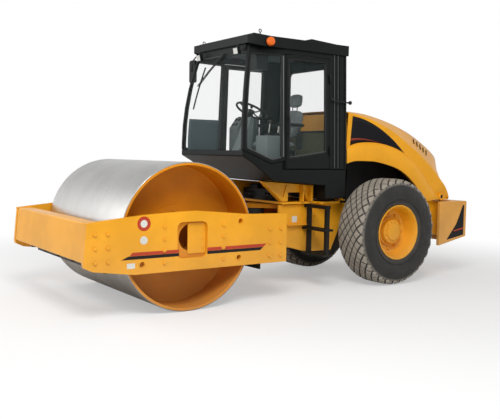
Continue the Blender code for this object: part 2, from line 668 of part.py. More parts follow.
def build_cab_inside():
    """Seat, steering console and wheel, side consoles and the box under the roof."""
    part("seat_base", box((-0.340, 0.080), (-0.220, 0.220), (FLOOR + GAP, 1.790)), BLACK, WORLD)
    part("seat_cushion", prism(rounded((-0.400, 0.120), (1.7905, 1.920), 0.035), "Y",
                               -0.255, 0.255), CLOTH, WORLD)
    backrest = [(-0.300, 1.925), (-0.420, 1.925), (-0.520, 2.340), (-0.540, 2.560),
                (-0.450, 2.560), (-0.420, 2.340)]
    part("seat_back", prism(backrest, "Y", -0.235, 0.235), CLOTH, WORLD)
    column = [(0.560, 1.562), (0.395, FLOOR + GAP), (0.300, FLOOR + GAP), (0.240, 2.190),
              (0.310, 2.215), (0.420, 1.900), (0.560, 1.640)]
    part("steering_console", prism(column, "Y", -0.085, 0.085), GREY, WORLD)
    tilt = math.radians(28)
    ring = turned([(0.200, -0.014), (0.228, -0.014), (0.228, 0.014), (0.200, 0.014)], 32,
                  (0, 0, 0), "Z")
    hub = rod((0, 0, 0), 0.045, -0.050, 0.012, "Z", 16)
    spokes = [box((-0.210, 0.210), (-0.014, 0.014), (-0.010, 0.006)),
              box((-0.014, 0.014), (-0.210, 0.210), (-0.010, 0.006))]
    place = Matrix.Translation((0.235, 0, 2.290)) @ Matrix.Rotation(-tilt, 4, "Y")
    for shape in (ring, hub, *spokes):
        bmesh.ops.transform(shape, matrix=place, verts=shape.verts)
    wheel = part("steering_wheel", ring, BLACK, WORLD)
    boolean(wheel, "UNION", hub, *spokes)
    part("console_left", box((0.050, 0.420), (0.360, 0.600), (FLOOR + GAP, 1.960)), GREY, WORLD)
    cluster = [(0.200, FLOOR + GAP), (0.200, 2.080), (0.090, 2.230), (-0.180, 2.230),
               (-0.180, FLOOR + GAP)]
    part("console_right", prism(cluster, "Y", -0.600, -0.400), GREY, WORLD)
    part("ceiling_box", box((0.380, 0.560), (0.330, 0.560), (2.760, CAB_TOP - GAP)), BLACK, WORLD)


def build_steps():
    """A ladder on each side, set across the machine in front of the wheel."""
    wide = (FRAME_HALF + GAP, 0.955)
    for name, side in SIDES:
        post = sided(box((-0.340, -0.290), (0.545, 0.600), (0.455, 1.085)), side)
        step = part(f"step_{name}", post, BLACK, WORLD)
        others = [box((-0.340, -0.290), (0.900, 0.955), (0.455, 1.085)),
                  box((-0.350, -0.280), wide, (1.045, 1.088))]
        others += [box((-0.400, -0.250), wide, (z, z + 0.030)) for z in (0.435, 0.760)]
        boolean(step, "UNION", *[sided(shape, side) for shape in others])


build_drum()
build_yoke()
build_scrapers()
build_hitch()
build_cylinders()
build_rear_frame()
build_cab_mounts()
build_rear_axle()
build_wheels()
build_counterweight()
build_engine()
build_hood()
build_cab_shell()
build_cab_sides()
build_windscreen()
build_cab_inside()
build_steps()
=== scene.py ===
# %% [markdown]
# # A single drum road roller
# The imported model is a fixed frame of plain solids. Each cell below dresses one group of them: first
# the tools that make meshes and materials, then the drum end, the wheels, the bonnet, the cab and the
# stage. Sizes come from the frame's own boxes, so a piece fits without being measured again.

# %% Load the fixed frame
import json
import bmesh
import bpy
import numpy as np
from mathutils import Matrix, Vector


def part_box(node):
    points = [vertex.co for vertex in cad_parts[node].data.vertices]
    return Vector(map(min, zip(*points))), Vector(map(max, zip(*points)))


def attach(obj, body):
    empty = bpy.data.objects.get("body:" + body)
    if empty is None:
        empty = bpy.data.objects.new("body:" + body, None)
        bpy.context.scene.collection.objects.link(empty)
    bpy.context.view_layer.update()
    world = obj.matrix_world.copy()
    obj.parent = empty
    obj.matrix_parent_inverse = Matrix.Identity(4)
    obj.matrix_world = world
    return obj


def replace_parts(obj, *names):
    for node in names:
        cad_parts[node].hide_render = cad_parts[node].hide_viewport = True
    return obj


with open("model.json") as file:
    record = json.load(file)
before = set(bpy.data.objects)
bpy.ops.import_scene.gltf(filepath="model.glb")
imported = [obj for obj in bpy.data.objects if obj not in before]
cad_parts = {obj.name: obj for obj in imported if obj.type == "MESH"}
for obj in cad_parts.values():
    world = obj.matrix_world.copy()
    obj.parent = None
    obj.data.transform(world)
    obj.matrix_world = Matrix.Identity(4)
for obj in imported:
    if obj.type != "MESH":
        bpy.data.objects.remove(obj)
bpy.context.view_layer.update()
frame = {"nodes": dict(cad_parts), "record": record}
print("frame", len(frame["nodes"]), "nodes")


def spans(node):
    """A node's box as three (low, high) pairs, for x, y and z."""
    low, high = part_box(node)
    return [(low[i], high[i]) for i in range(3)]


def middle(node):
    """The middle of a node's box."""
    low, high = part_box(node)
    return np.array((low + high) / 2)


SIDES = (("left", 1.0), ("right", -1.0))

# %% [markdown]
# ## Shapes as arrays
# A shape is a pair: an (n, 3) array of points and a list of faces. A surface is a function of two
# parameters worked out on a grid, so one grid of points gives all its faces at once. Repeats are the
# same points moved by a table of matrices. Nothing loops over single vertices.

# %% Grids, turned shapes, prisms and tubes
def grid(points, wrap_rows=False, wrap_cols=False, caps=False):
    """A (rows, cols, 3) array as a shape: each cell between four neighbours is a face."""
    rows, cols = points.shape[:2]
    index = np.arange(rows * cols).reshape(rows, cols)
    if wrap_rows:
        index = np.vstack([index, index[:1]])
    if wrap_cols:
        index = np.hstack([index, index[:, :1]])
    cells = np.stack([index[:-1, :-1], index[:-1, 1:], index[1:, 1:], index[1:, :-1]], -1)
    faces = [tuple(cell) for cell in cells.reshape(-1, 4).tolist()]
    if caps:
        faces += [tuple(index[0, :cols].tolist()), tuple(index[-1, :cols][::-1].tolist())]
    return points.reshape(-1, 3), faces


AXES = {"X": (1, 2, 0), "Y": (0, 2, 1), "Z": (0, 1, 2)}


def on_axis(first, second, along, axis):
    """Stack three arrays so that the third runs along the named axis."""
    order = AXES[axis]
    placed = [None, None, None]
    placed[order[0]], placed[order[1]], placed[order[2]] = first, second, along
    return np.stack(np.broadcast_arrays(*placed), -1)


def turned(profile, centre, axis="Y", sides=64, closed=True):
    """A profile of (radius, offset) swept round an axis: x = r cos a, z = r sin a, y = offset."""
    radius, offset = np.array(profile, float).T
    angle = 2 * np.pi * (np.arange(sides) + 0.5) / sides - np.pi / 2
    points = on_axis(radius[:, None] * np.cos(angle), radius[:, None] * np.sin(angle),
                     np.repeat(offset[:, None], sides, 1), axis)
    return grid(points + np.array(centre), wrap_rows=closed, wrap_cols=True)


def prism(outline, axis, low, high):
    """A closed outline carried straight along an axis, with both ends filled."""
    first, second = np.array(outline, float).T
    rings = np.stack([on_axis(first, second, np.full(len(first), level), axis)
                      for level in (low, high)])
    return grid(rings, wrap_cols=True, caps=True)


def block(x, y, z):
    """A box between two values along each axis."""
    return prism([(x[0], y[0]), (x[1], y[0]), (x[1], y[1]), (x[0], y[1])], "Z", z[0], z[1])


def smooth_path(points, count=24):
    """A Catmull-Rom curve through a few points: a cubic blend of each four neighbours."""
    way = np.array(points, float)
    ends = np.vstack([2 * way[0] - way[1], way, 2 * way[-1] - way[-2]])
    place = np.linspace(0, len(way) - 1 - 1e-9, count)
    start = place.astype(int)
    t = (place - start)[:, None]
    a, b, c, d = (ends[start + k] for k in range(4))
    return 0.5 * (2 * b + (c - a) * t + (2 * a - 5 * b + 4 * c - d) * t ** 2
                  + (3 * b - a - 3 * c + d) * t ** 3)


def tube(path, radius, sides=12, up=(0, 0, 1)):
    """A circle carried along a path, held square to it: centre + r (cos a side + sin a lift)."""
    path = np.array(path, float)
    along = np.gradient(path, axis=0)
    along /= np.linalg.norm(along, axis=1)[:, None]
    side = np.cross(along, up)
    side /= np.linalg.norm(side, axis=1)[:, None]
    lift = np.cross(side, along)
    angle = 2 * np.pi * np.arange(sides) / sides
    ring = np.cos(angle)[None, :, None] * side[:, None] + np.sin(angle)[None, :, None] * lift[:, None]
    return grid(path[:, None] + radius * ring, wrap_cols=True, caps=True)


def arc(centre, radius, start, end, steps=8):
    """Points on a circle between two angles in degrees."""
    angle = np.radians(np.linspace(start, end, steps + 1))
    return np.stack([centre[0] + radius * np.cos(angle), centre[1] + radius * np.sin(angle)], -1)


def rounded(first, second, radius, steps=4):
    """A rectangle's outline with round corners."""
    corners = ((first[1], second[1], 0), (first[0], second[1], 90),
               (first[0], second[0], 180), (first[1], second[0], 270))
    inward = {0: (-1, -1), 90: (1, -1), 180: (1, 1), 270: (-1, 1)}
    return np.vstack([arc((a + inward[s][0] * radius, b + inward[s][1] * radius),
                          radius, s, s + 90, steps) for a, b, s in corners])


# %% Joining, repeating and turning shapes over
def joined(*shapes):
    """Several shapes as one, their faces counted on past each other."""
    points, faces, count = [], [], 0
    for some, cells in shapes:
        points.append(some)
        faces += [tuple(i + count for i in cell) for cell in cells]
        count += len(some)
    return np.vstack(points), faces


def moved(shape, offset=(0, 0, 0), turn=None):
    """A shape turned by a matrix and then shifted."""
    points = shape[0] if turn is None else shape[0] @ np.array(turn).T
    return points + np.array(offset), shape[1]


def repeated(shape, offsets):
    """The same shape at each of many offsets, as one array sum."""
    offsets = np.array(offsets, float)
    points = (shape[0][None] + offsets[:, None]).reshape(-1, 3)
    size = len(shape[0])
    faces = [tuple(i + k * size for i in cell) for k in range(len(offsets)) for cell in shape[1]]
    return points, faces


def about(axis, degrees):
    """A 3 by 3 turn about an axis."""
    return np.array(Matrix.Rotation(np.radians(degrees), 3, axis))


def sided(shape, side):
    """A shape made on the left, turned over for the right. Its faces are put right later."""
    return (shape[0] * np.array([1, side, 1]), shape[1])


# %% A finished piece
def piece(name, shape, finish, body, slot=None, bevel=0.0, angle=35):
    """Put a shape into a mesh: doubles merged, normals out, sharp edges by angle, then a bevel.

    The slot, or its finish's usual one when none is given, is worked out but not used.
    """
    mesh = bpy.data.meshes.new(name)
    mesh.from_pydata(shape[0].tolist(), [], shape[1])
    bm = bmesh.new()
    bm.from_mesh(mesh)
    bmesh.ops.remove_doubles(bm, verts=bm.verts, dist=1e-5)
    bmesh.ops.dissolve_degenerate(bm, edges=bm.edges, dist=1e-7)
    bmesh.ops.recalc_face_normals(bm, faces=bm.faces)
    bm.to_mesh(mesh)
    bm.free()
    slot = USUAL_SLOT.get(finish.name) if slot is None else slot
    return dressed(bpy.data.objects.new(name, mesh), finish, body, bevel, angle)


def dressed(made, finish, body, bevel=0.0, angle=35):
    """Link an object, give it its finish, edges and body."""
    bpy.context.scene.collection.objects.link(made)
    made.data.materials.append(finish)
    made.data.shade_smooth()
    made.data.set_sharp_from_angle(angle=np.radians(angle))
    if bevel:
        edge = made.modifiers.new("edge", "BEVEL")
        edge.width, edge.segments, edge.limit_method = bevel, 2, "ANGLE"
        edge.angle_limit = np.radians(angle)
        edge.use_clamp_overlap = True
        edge.harden_normals = True
    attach(made, body)
    return made


BODY_OF = {node: body for body, nodes in frame["record"]["behaviour"]["bodies"].items()
           for node in nodes}


def softened(node, finish, bevel, angle=30):
    """A merged copy of a plain solid with its edges broken, which stands for the solid."""
    bm = bmesh.new()
    bm.from_mesh(frame["nodes"][node].data)
    bmesh.ops.remove_doubles(bm, verts=bm.verts, dist=1e-5)
    bmesh.ops.dissolve_limit(bm, angle_limit=np.radians(0.6), verts=bm.verts, edges=bm.edges)
    points = [tuple(v.co) for v in bm.verts]
    faces = [[v.index for v in f.verts] for f in bm.faces]
    bm.free()
    mesh = bpy.data.meshes.new(node + "_finished")
    mesh.from_pydata(points, [], faces)
    made = dressed(bpy.data.objects.new(node + "_finished", mesh), finish, BODY_OF[node],
                   bevel, angle)
    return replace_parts(made, node)


# %% [markdown]
# ## Materials as expressions
# A finish is a small sum of patterns: paint is a colour with faint clouds, dust low down and a skin
# of fine bumps. Writing the sums as Python expressions keeps them readable, and the class below turns
# each operator into one Math node.

# %% Sockets that add up
class Value:
    """A node's output. Each operator on it adds a Math node and gives a new Value."""

    def __init__(self, graph, socket):
        self.graph, self.socket = graph, socket

    def maths(self, operation, *others):
        values = {i: (v.socket if isinstance(v, Value) else v) for i, v in enumerate(others)}
        node = self.graph.node("ShaderNodeMath", {"operation": operation}, values)
        return Value(self.graph, node.outputs[0])

    def __add__(self, other): return self.maths("ADD", self, other)
    def __radd__(self, other): return self.maths("ADD", other, self)
    def __sub__(self, other): return self.maths("SUBTRACT", self, other)
    def __rsub__(self, other): return self.maths("SUBTRACT", other, self)
    def __mul__(self, other): return self.maths("MULTIPLY", self, other)
    def __rmul__(self, other): return self.maths("MULTIPLY", other, self)
    def __truediv__(self, other): return self.maths("DIVIDE", self, other)
    def __pow__(self, other): return self.maths("POWER", self, other)
    def wave(self): return self.maths("SINE", self)

    def between(self, low, high):
        """0 below low, 1 above high, and a smooth step between them."""
        node = self.graph.node("ShaderNodeMapRange", {"interpolation_type": "SMOOTHSTEP"},
                               {"Value": self.socket, "From Min": low, "From Max": high})
        return Value(self.graph, node.outputs[0])


class Finish:
    """One material: its node graph and its Principled shader."""

    def __init__(self, name, **plain):
        self.material = bpy.data.materials.new(name)
        self.material.use_nodes = True
        self.tree = self.material.node_tree
        self.shader = self.tree.nodes["Principled BSDF"]
        for socket, value in plain.items():
            self.shader.inputs[socket.replace("_", " ")].default_value = value
        self.place = self.node("ShaderNodeTexCoord").outputs["Object"]

    def node(self, kind, settings=None, values=None):
        """Make a node: settings first, then its sockets' values or links."""
        made = self.tree.nodes.new(kind)
        for name, value in (settings or {}).items():
            setattr(made, name, value)
        for name, value in (values or {}).items():
            if isinstance(value, Value):
                value = value.socket
            if isinstance(value, bpy.types.NodeSocket):
                self.tree.links.new(value, made.inputs[name])
            else:
                made.inputs[name].default_value = value
        return made

    def scaled(self, scale):
        """Object coordinates times a scale for each axis."""
        node = self.node("ShaderNodeMapping", None, {"Vector": self.place, "Scale": scale})
        return node.outputs["Vector"]

    def noise(self, scale=1.0, detail=3.0, stretch=(1, 1, 1), rough=0.55):
        """Cloudy noise from 0 to 1, stretched along an axis where its scale is small."""
        node = self.node("ShaderNodeTexNoise", None,
                         {"Vector": self.scaled(stretch), "Scale": scale, "Detail": detail,
                          "Roughness": rough})
        return Value(self, node.outputs["Fac"])

    def axes(self):
        """Object x, y and z as Values."""
        node = self.node("ShaderNodeSeparateXYZ", None, {"Vector": self.place})
        return [Value(self, socket) for socket in node.outputs]

    def radius(self, x, z):
        """Distance from an axle that lies across the machine."""
        across, _, up = self.axes()
        return ((across - x) ** 2.0 + (up - z) ** 2.0) ** 0.5

    def mix(self, mask, one, two):
        """One colour where the mask is 0, the other where it is 1."""
        node = self.node("ShaderNodeMix", {"data_type": "RGBA"},
                         {0: mask, 6: one if not isinstance(one, tuple) else (*one, 1.0),
                          7: two if not isinstance(two, tuple) else (*two, 1.0)})
        return node.outputs[2]

    def finish(self, colour, roughness=None, bump=None, height=0.001):
        """Link what varies to the shader and give back the material."""
        for name, value in (("Base Color", colour), ("Roughness", roughness)):
            if value is not None:
                value = value.socket if isinstance(value, Value) else value
                self.tree.links.new(value, self.shader.inputs[name])
        if bump is not None:
            node = self.node("ShaderNodeBump", None,
                             {"Height": bump, "Strength": 1.0, "Distance": height})
            self.tree.links.new(node.outputs["Normal"], self.shader.inputs["Normal"])
        return self.material


# %% [markdown]
# ## Paints
# Machine paint is sprayed over plate: a broad, very faint change of shade, a skin like orange peel,
# and a film of dust that gathers low down. One function gives all the paints; the colours and the
# amount of dust differ.

# %% Paint
DUST = (0.36, 0.27, 0.17)


def paint(name, colour, gloss, dust=0.25, peel=0.00025, coat=0.12, shine=0.30):
    """Sprayed paint: clouds in the colour, dust near the ground, orange peel in the bump."""
    made = Finish(name, Coat_Weight=coat, Coat_Roughness=0.12, Specular_IOR_Level=shine)
    _, _, up = made.axes()
    clouds = made.noise(1.7, 4.0)
    grime = made.noise(9.0, 6.0, rough=0.7)
    low = (1.0 - up.between(0.15, 1.15)) * dust
    film = (low * (0.35 + grime * 0.9) + made.noise(3.1, 5.0).between(0.56, 0.80) * dust * 0.25)
    deep = tuple(c * 0.86 for c in colour)
    shade = made.mix(clouds.between(0.35, 0.65), deep, colour)
    skin = made.noise(170.0, 2.0) * 0.6 + made.noise(620.0, 2.0) * 0.4
    return made.finish(made.mix(film, shade, DUST), film * 0.4 + grime * 0.10 + gloss, skin, peel)


YELLOW = paint("yellow_paint", (0.90, 0.395, 0.010), 0.27)
# SHADE_YELLOW is painted shade: the yellow made darker and more orange for parts that lie in shade, which
# are the drum's bore and heads, its supports and the frame's nose.
SHADE_YELLOW = paint("yellow_painted_shade", (0.74, 0.27, 0.008), 0.38, dust=0.32, coat=0.0, shine=0.2)
SAND = paint("sand_paint", (0.84, 0.40, 0.075), 0.36, dust=0.30)
BLACK = paint("black_paint", (0.0075, 0.0090, 0.0085), 0.34, dust=0.05, coat=0.05, shine=0.12)
IRON = paint("dark_casting", (0.024, 0.025, 0.026), 0.50, dust=0.25, peel=0.0011, coat=0.0,
             shine=0.2)
RED = paint("red_stripe", (0.50, 0.042, 0.012), 0.32, dust=0.08)
DARK_RED = paint("dark_red_film", (0.25, 0.035, 0.016), 0.32, dust=0.05, shine=0.2)
DECAL = paint("black_film", (0.009, 0.009, 0.011), 0.26, dust=0.06, peel=0.00008, coat=0.0,
              shine=0.14)
WHITE = paint("white_film", (0.72, 0.72, 0.66), 0.34, dust=0.10)
GREY = paint("grey_plastic", (0.13, 0.155, 0.155), 0.48, dust=0.05, peel=0.0009, coat=0.0)

# %% [markdown]
# ## Bare metal and rubber
# The drum is turned steel that has rolled over stones: fine lines run round it, so the noise is
# squeezed across the machine and drawn out around it. Tyre rubber is black on the wall and dusty where
# it meets the ground, which the distance from the axle tells apart.

# %% Steel, chrome, rubber, glass
DRUM = middle("drum_shell")
AXLE = middle("tyre_left") * np.array([1, 0, 1])


def rolled_steel():
    """Turned steel: fine lines round the drum, faint stains, darker and browner towards the bottom."""
    made = Finish("rolled_steel", Metallic=0.93)
    lines = made.noise(1.0, 5.0, stretch=(2.0, 190.0, 2.0))
    fine = made.noise(1.0, 2.0, stretch=(6.0, 900.0, 6.0))
    stain = made.noise(2.6, 6.0, rough=0.65)
    _, _, up = made.axes()
    low = (1.0 - up.between(0.15, 0.75)) * (0.45 + stain * 0.6)
    bright = made.mix(stain.between(0.30, 0.75), (0.60, 0.595, 0.58), (0.50, 0.495, 0.485))
    lined = made.mix(lines.between(0.3, 0.75) * 0.35, bright, (0.40, 0.39, 0.38))
    rough = lines * 0.10 + low * 0.25 + stain * 0.10 + 0.20
    return made.finish(made.mix(low, lined, (0.17, 0.145, 0.115)), rough,
                       lines * 0.5 + fine * 0.5, 0.0004)


def tyre_rubber():
    """Black rubber with dust on the tread and a satin wall."""
    made = Finish("tyre_rubber", Specular_IOR_Level=0.35)
    low, high = spans("tyre_left")[1]
    out = made.radius(AXLE[0], AXLE[2])
    across = ((made.axes()[1] ** 2.0) ** 0.5 - (low + high) / 2) ** 2.0
    edge = (across ** 0.5 * (2 / (high - low))).between(0.45, 1.0)
    depth = (edge ** 2.3) * -0.085 - out + (spans("tyre_left")[2][1] - AXLE[2])
    tread = 1.0 - edge.between(0.80, 0.98)
    groove = 1.0 - depth.between(0.003, 0.020)
    clumps = made.noise(7.0, 6.0, rough=0.7)
    grit = made.noise(60.0, 4.0, rough=0.7)
    amount = tread * (clumps * 0.55 + grit * 0.45 + 0.22) * (0.10 + groove * 0.90)
    wall = made.mix(clumps.between(0.4, 0.7), (0.021, 0.021, 0.020), (0.034, 0.032, 0.028))
    colour = made.mix(amount, wall, (0.46, 0.41, 0.34))
    return made.finish(colour, 0.52 + amount * 0.42, clumps * 0.3 + grit * 0.7, 0.0016)


def glass(name, tint, alpha):
    """A pane seen as a thin tinted film with a clear coat, so the inside still shows."""
    made = Finish(name, Roughness=0.03, Alpha=alpha, Specular_IOR_Level=0.4)
    haze = made.noise(1.3, 4.0)
    return made.finish(made.mix(haze, tint, tuple(c * 0.8 for c in tint)))


def plain_metal(name, colour, rough, grain=220.0):
    """Bright metal with a faint grain."""
    made = Finish(name, Metallic=1.0)
    cloud = made.noise(14.0, 3.0)
    return made.finish(made.mix(cloud, colour, tuple(c * 0.85 for c in colour)),
                       cloud * 0.12 + rough, made.noise(grain, 2.0), 0.0002)


def woven_cloth():
    """Seat cloth: two crossed waves make the weave, clouds make it worn."""
    made = Finish("seat_cloth", Sheen_Weight=0.3, Sheen_Roughness=0.5)
    x, y, z = made.axes()
    weave = ((x * 2600.0).wave() + (y * 2600.0).wave() + ((z * 2600.0).wave())) * 0.17 + 0.5
    worn = made.noise(11.0, 5.0)
    shade = made.mix(worn.between(0.35, 0.7), (0.075, 0.095, 0.10), (0.15, 0.17, 0.17))
    return made.finish(made.mix(weave * 0.5, shade, (0.23, 0.25, 0.25)), 0.80 + weave * 0.1,
                       weave, 0.0006)


STEEL = rolled_steel()
RUBBER = tyre_rubber()
CLOTH = woven_cloth()
CHROME = plain_metal("chromed_rod", (0.78, 0.78, 0.78), 0.10)
ZINC = plain_metal("zinc_fitting", (0.50, 0.48, 0.43), 0.35)
TRIM = plain_metal("dull_trim", (0.20, 0.215, 0.21), 0.42)
CLEAR = glass("clear_glass", (0.16, 0.22, 0.21), 0.050)
SCREEN = glass("screen_glass", (0.70, 0.80, 0.78), 0.020)
AMBER = glass("amber_lens", (0.90, 0.16, 0.01), 0.92)
LENS = glass("clear_lens", (0.86, 0.86, 0.82), 0.80)
HOSE = paint("hose_rubber", (0.016, 0.016, 0.016), 0.55, dust=0.2, peel=0.0006, coat=0.0)
USUAL_SLOT = {YELLOW.name: "yellow_paint", SHADE_YELLOW.name: "yellow_paint", BLACK.name: "black_paint",
              HOSE.name: "black_paint", IRON.name: "cast_iron"}
print("finishes", len(bpy.data.materials))

# %% [markdown]
# ## The stage
# A wide pale floor fades into a white surround, so that no horizon shows. One large soft lamp stands
# high at the front left, a weaker one fills the other side, and the world gives an even light.

# %% Camera, lamps, floor and world
LENS_MM = 51.5
CAMERA = Vector((5.617, 7.803, 1.732))
YAW, PITCH, ROLL = np.radians((-124.6, -4.47, 0.98))


def level_camera():
    """A camera whose axes are worked out from its heading, its tilt and its roll."""
    ahead = Vector((np.cos(YAW) * np.cos(PITCH), np.sin(YAW) * np.cos(PITCH), np.sin(PITCH)))
    right = ahead.cross(Vector((0, 0, 1))).normalized()
    up = right.cross(ahead)
    right, up = (right * np.cos(ROLL) + up * np.sin(ROLL), up * np.cos(ROLL) - right * np.sin(ROLL))
    data = bpy.data.cameras.new("camera")
    data.lens, data.sensor_width = LENS_MM, 36.0
    made = bpy.data.objects.new("camera", data)
    bpy.context.scene.collection.objects.link(made)
    turn = Matrix((right, up, -ahead)).transposed().to_4x4()
    made.matrix_world = Matrix.Translation(CAMERA) @ turn
    bpy.context.scene.camera = made


def lamp(name, place, aim, size, power):
    """A square area lamp that faces a point."""
    data = bpy.data.lights.new(name, "AREA")
    data.size, data.energy = size, power
    made = bpy.data.objects.new(name, data)
    bpy.context.scene.collection.objects.link(made)
    heading = (Vector(aim) - Vector(place)).to_track_quat("-Z", "Y")
    made.matrix_world = Matrix.Translation(place) @ heading.to_matrix().to_4x4()


def pale_floor():
    """A disc whose diffuse middle holds the shadow and whose rim is as white as the world."""
    ring = turned([(0.0, 0.0), (4.0, 0.0), (9.0, 0.0), (60.0, 0.0)], (0, 0, 0), "Z", 64, closed=False)
    mesh = bpy.data.meshes.new("floor")
    mesh.from_pydata(ring[0].tolist(), [], ring[1])
    made = bpy.data.objects.new("floor", mesh)
    bpy.context.scene.collection.objects.link(made)
    look = Finish("floor", Roughness=0.9, Base_Color=(0.86, 0.86, 0.86, 1.0))
    x, y, _ = look.axes()
    far = ((x ** 2.0 + y ** 2.0) ** 0.5).between(3.2, 7.5)
    ray = look.node("ShaderNodeLightPath").outputs["Is Camera Ray"]
    white = look.node("ShaderNodeEmission", None, {"Strength": 1.0})
    mixed = look.node("ShaderNodeMixShader", None,
                      {0: (far * 0.62 + 0.38) * Value(look, ray), 1: look.shader.outputs[0],
                       2: white.outputs[0]})
    look.tree.links.new(mixed.outputs[0], look.tree.nodes["Material Output"].inputs["Surface"])
    mesh.materials.append(look.material)


def white_world(even, level_gloss, high_gloss):
    """Even light; the camera sees white, and gloss sees a sky that darkens overhead."""
    world = bpy.data.worlds.new("studio")
    bpy.context.scene.world = world
    world.use_nodes = True
    tree = world.node_tree
    path = tree.nodes.new("ShaderNodeLightPath")

    def ranged(value, low, high, first, last):
        """Map a value from low..high onto first..last, held at the ends."""
        node = tree.nodes.new("ShaderNodeMapRange")
        for name, given in (("Value", value), ("From Min", low), ("From Max", high),
                            ("To Min", first), ("To Max", last)):
            if isinstance(given, bpy.types.NodeSocket):
                tree.links.new(given, node.inputs[name])
            else:
                node.inputs[name].default_value = given
        return node.outputs[0]

    split = tree.nodes.new("ShaderNodeSeparateXYZ")
    tree.links.new(tree.nodes.new("ShaderNodeNewGeometry").outputs["Incoming"], split.inputs[0])
    overhead = ranged(split.outputs["Z"], -0.10, -0.85, level_gloss, high_gloss)
    level = ranged(path.outputs["Is Glossy Ray"], 0, 1, even, overhead)
    level = ranged(path.outputs["Is Camera Ray"], 0, 1, level, 1.0)
    level = ranged(path.outputs["Is Transmission Ray"], 0, 1, level, 1.0)
    shade = tree.nodes["Background"]
    shade.inputs["Color"].default_value = (1, 1, 1, 1)
    tree.links.new(level, shade.inputs["Strength"])


level_camera()
pale_floor()
white_world(0.46, 0.92, 0.36)
lamp("key", (4.5, 6.5, 7.5), (0, 0, 1), 4.0, 620)
lamp("fill", (7.0, -4.0, 3.5), (0.5, 0, 1), 4.0, 190)
bpy.context.scene.view_settings.view_transform = "Standard"

# %% [markdown]
# ## Plain solids with broken edges
# Flame-cut plate and folded sheet never end in a perfect edge: a small radius catches the light. Most
# of the frame has the right shape already, so each solid is copied, merged, and its edges bevelled by
# an amount that suits the way it is made.

# %% The list of solids, their finish and their edge radius
# SHADE_YELLOW on the drum's supports and the frame's nose is the yellow darkened as painted shade.
EDGES = (                       # node, or the start of a pair's two names; finish; edge radius
    ("front_beam", YELLOW, 0.014), ("yoke_plate_", YELLOW, 0.007),
    ("rear_cross_member", YELLOW, 0.007), ("drum_support_", SHADE_YELLOW, 0.005),
    ("scraper_front", BLACK, 0.003), ("scraper_rear", BLACK, 0.003), ("centre_hitch", IRON, 0.006),
    ("exciter_tube", IRON, 0.004), ("steering_barrel_", BLACK, 0.003),
    ("steering_rod_", CHROME, 0.002), ("frame_side_", YELLOW, 0.006),
    ("frame_nose", SHADE_YELLOW, 0.005), ("frame_deck", YELLOW, 0.005),
    ("cab_mount_", YELLOW, 0.008), ("rear_axle", IRON, 0.008), ("counterweight", SAND, 0.014),
    ("engine_block", IRON, 0.020), ("radiator", BLACK, 0.008), ("cab_base", BLACK, 0.014),
    ("cab_side_", BLACK, 0.010), ("cab_back", BLACK, 0.008), ("cab_roof", BLACK, 0.016),
    ("door_", BLACK, 0.008), ("seat_base", BLACK, 0.012), ("steering_console", GREY, 0.018),
    ("console_", GREY, 0.018), ("ceiling_box", BLACK, 0.010), ("step_", BLACK, 0.007),
    ("windscreen", SCREEN, 0.0), ("side_glass_", CLEAR, 0.0), ("rear_glass", CLEAR, 0.0),
    ("door_glass_", CLEAR, 0.0))
for start, finish, radius in EDGES:
    for end in (("left", "right") if start.endswith("_") else ("",)):
        softened(start + end, finish, radius)

# %% [markdown]
# ## The drum
# The shell is rolled plate, turned true outside and painted inside. Its section is a rectangle swept
# round the axle. The heads sit deep inside, so that from the side each end is a bowl. They are swept
# too: a slightly coned disc, a raised hub ring and a fillet of weld where the head meets the shell.

# %% Shell, bore and heads
DRUM_R = spans("drum_shell")[0][1] - DRUM[0]
DRUM_HALF = spans("drum_shell")[1][1]
SHELL_WALL = 0.035
HEAD_Y = DRUM_HALF - 0.400
ROUND = 192


def drum_shell():
    """The outer face and its two rims, as one closed ring."""
    inner = DRUM_R - SHELL_WALL
    lip = 0.004
    ring = [(DRUM_R - lip, -DRUM_HALF), (DRUM_R, -DRUM_HALF + lip), (DRUM_R, DRUM_HALF - lip),
            (DRUM_R - lip, DRUM_HALF), (DRUM_R - 0.008, DRUM_HALF), (DRUM_R - 0.008, -DRUM_HALF)]
    made = piece("drum_skin", turned(ring, DRUM, "Y", ROUND), STEEL, "drum", "rolled_steel")
    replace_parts(made, "drum_shell")
    liner = [(DRUM_R - 0.0085, -DRUM_HALF), (DRUM_R - 0.0085, DRUM_HALF), (inner + 0.003, DRUM_HALF),
             (inner, DRUM_HALF - 0.003), (inner, -DRUM_HALF + 0.003),
             (inner + 0.003, -DRUM_HALF)]
    # The bore's darker yellow is painted shade inside the drum.
    piece("drum_bore", turned(liner, DRUM, "Y", ROUND), SHADE_YELLOW, "drum")


def drum_head(name, side):
    """A coned disc with a hub ring, a ring of bolts, two filler plugs and its weld."""
    inner = DRUM_R - SHELL_WALL - 0.0005
    face = [(0.0, HEAD_Y - 0.030), (inner, HEAD_Y - 0.030), (inner, HEAD_Y + 0.012),
            (inner - 0.010, HEAD_Y + 0.003), (inner - 0.024, HEAD_Y), (0.330, HEAD_Y + 0.004),
            (0.325, HEAD_Y + 0.020), (0.205, HEAD_Y + 0.022), (0.200, HEAD_Y + 0.066),
            (0.188, HEAD_Y + 0.070), (0.0, HEAD_Y + 0.070)]
    disc = turned(face, DRUM, "Y", ROUND)
    spots = arc((DRUM[0], DRUM[2]), 0.268, 0, 330, 11)
    bolts = repeated(bolt(0.017, 0.014), [(x, HEAD_Y + 0.020, z) for x, z in spots])
    plugs = repeated(bolt(0.034, 0.018), [(DRUM[0] + x, HEAD_Y + 0.001, DRUM[2] + z)
                                          for x, z in ((0.46, 0.20), (-0.46, -0.20))])
    # The dish's darker yellow is painted shade in the deep end of the drum.
    made = piece(f"drum_dish_{name}", sided(disc, side), SHADE_YELLOW, "drum")
    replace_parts(made, f"drum_head_{name}")
    piece(f"drum_head_bolts_{name}", sided(joined(bolts, plugs), side), SHADE_YELLOW, "drum", bevel=0.0015)


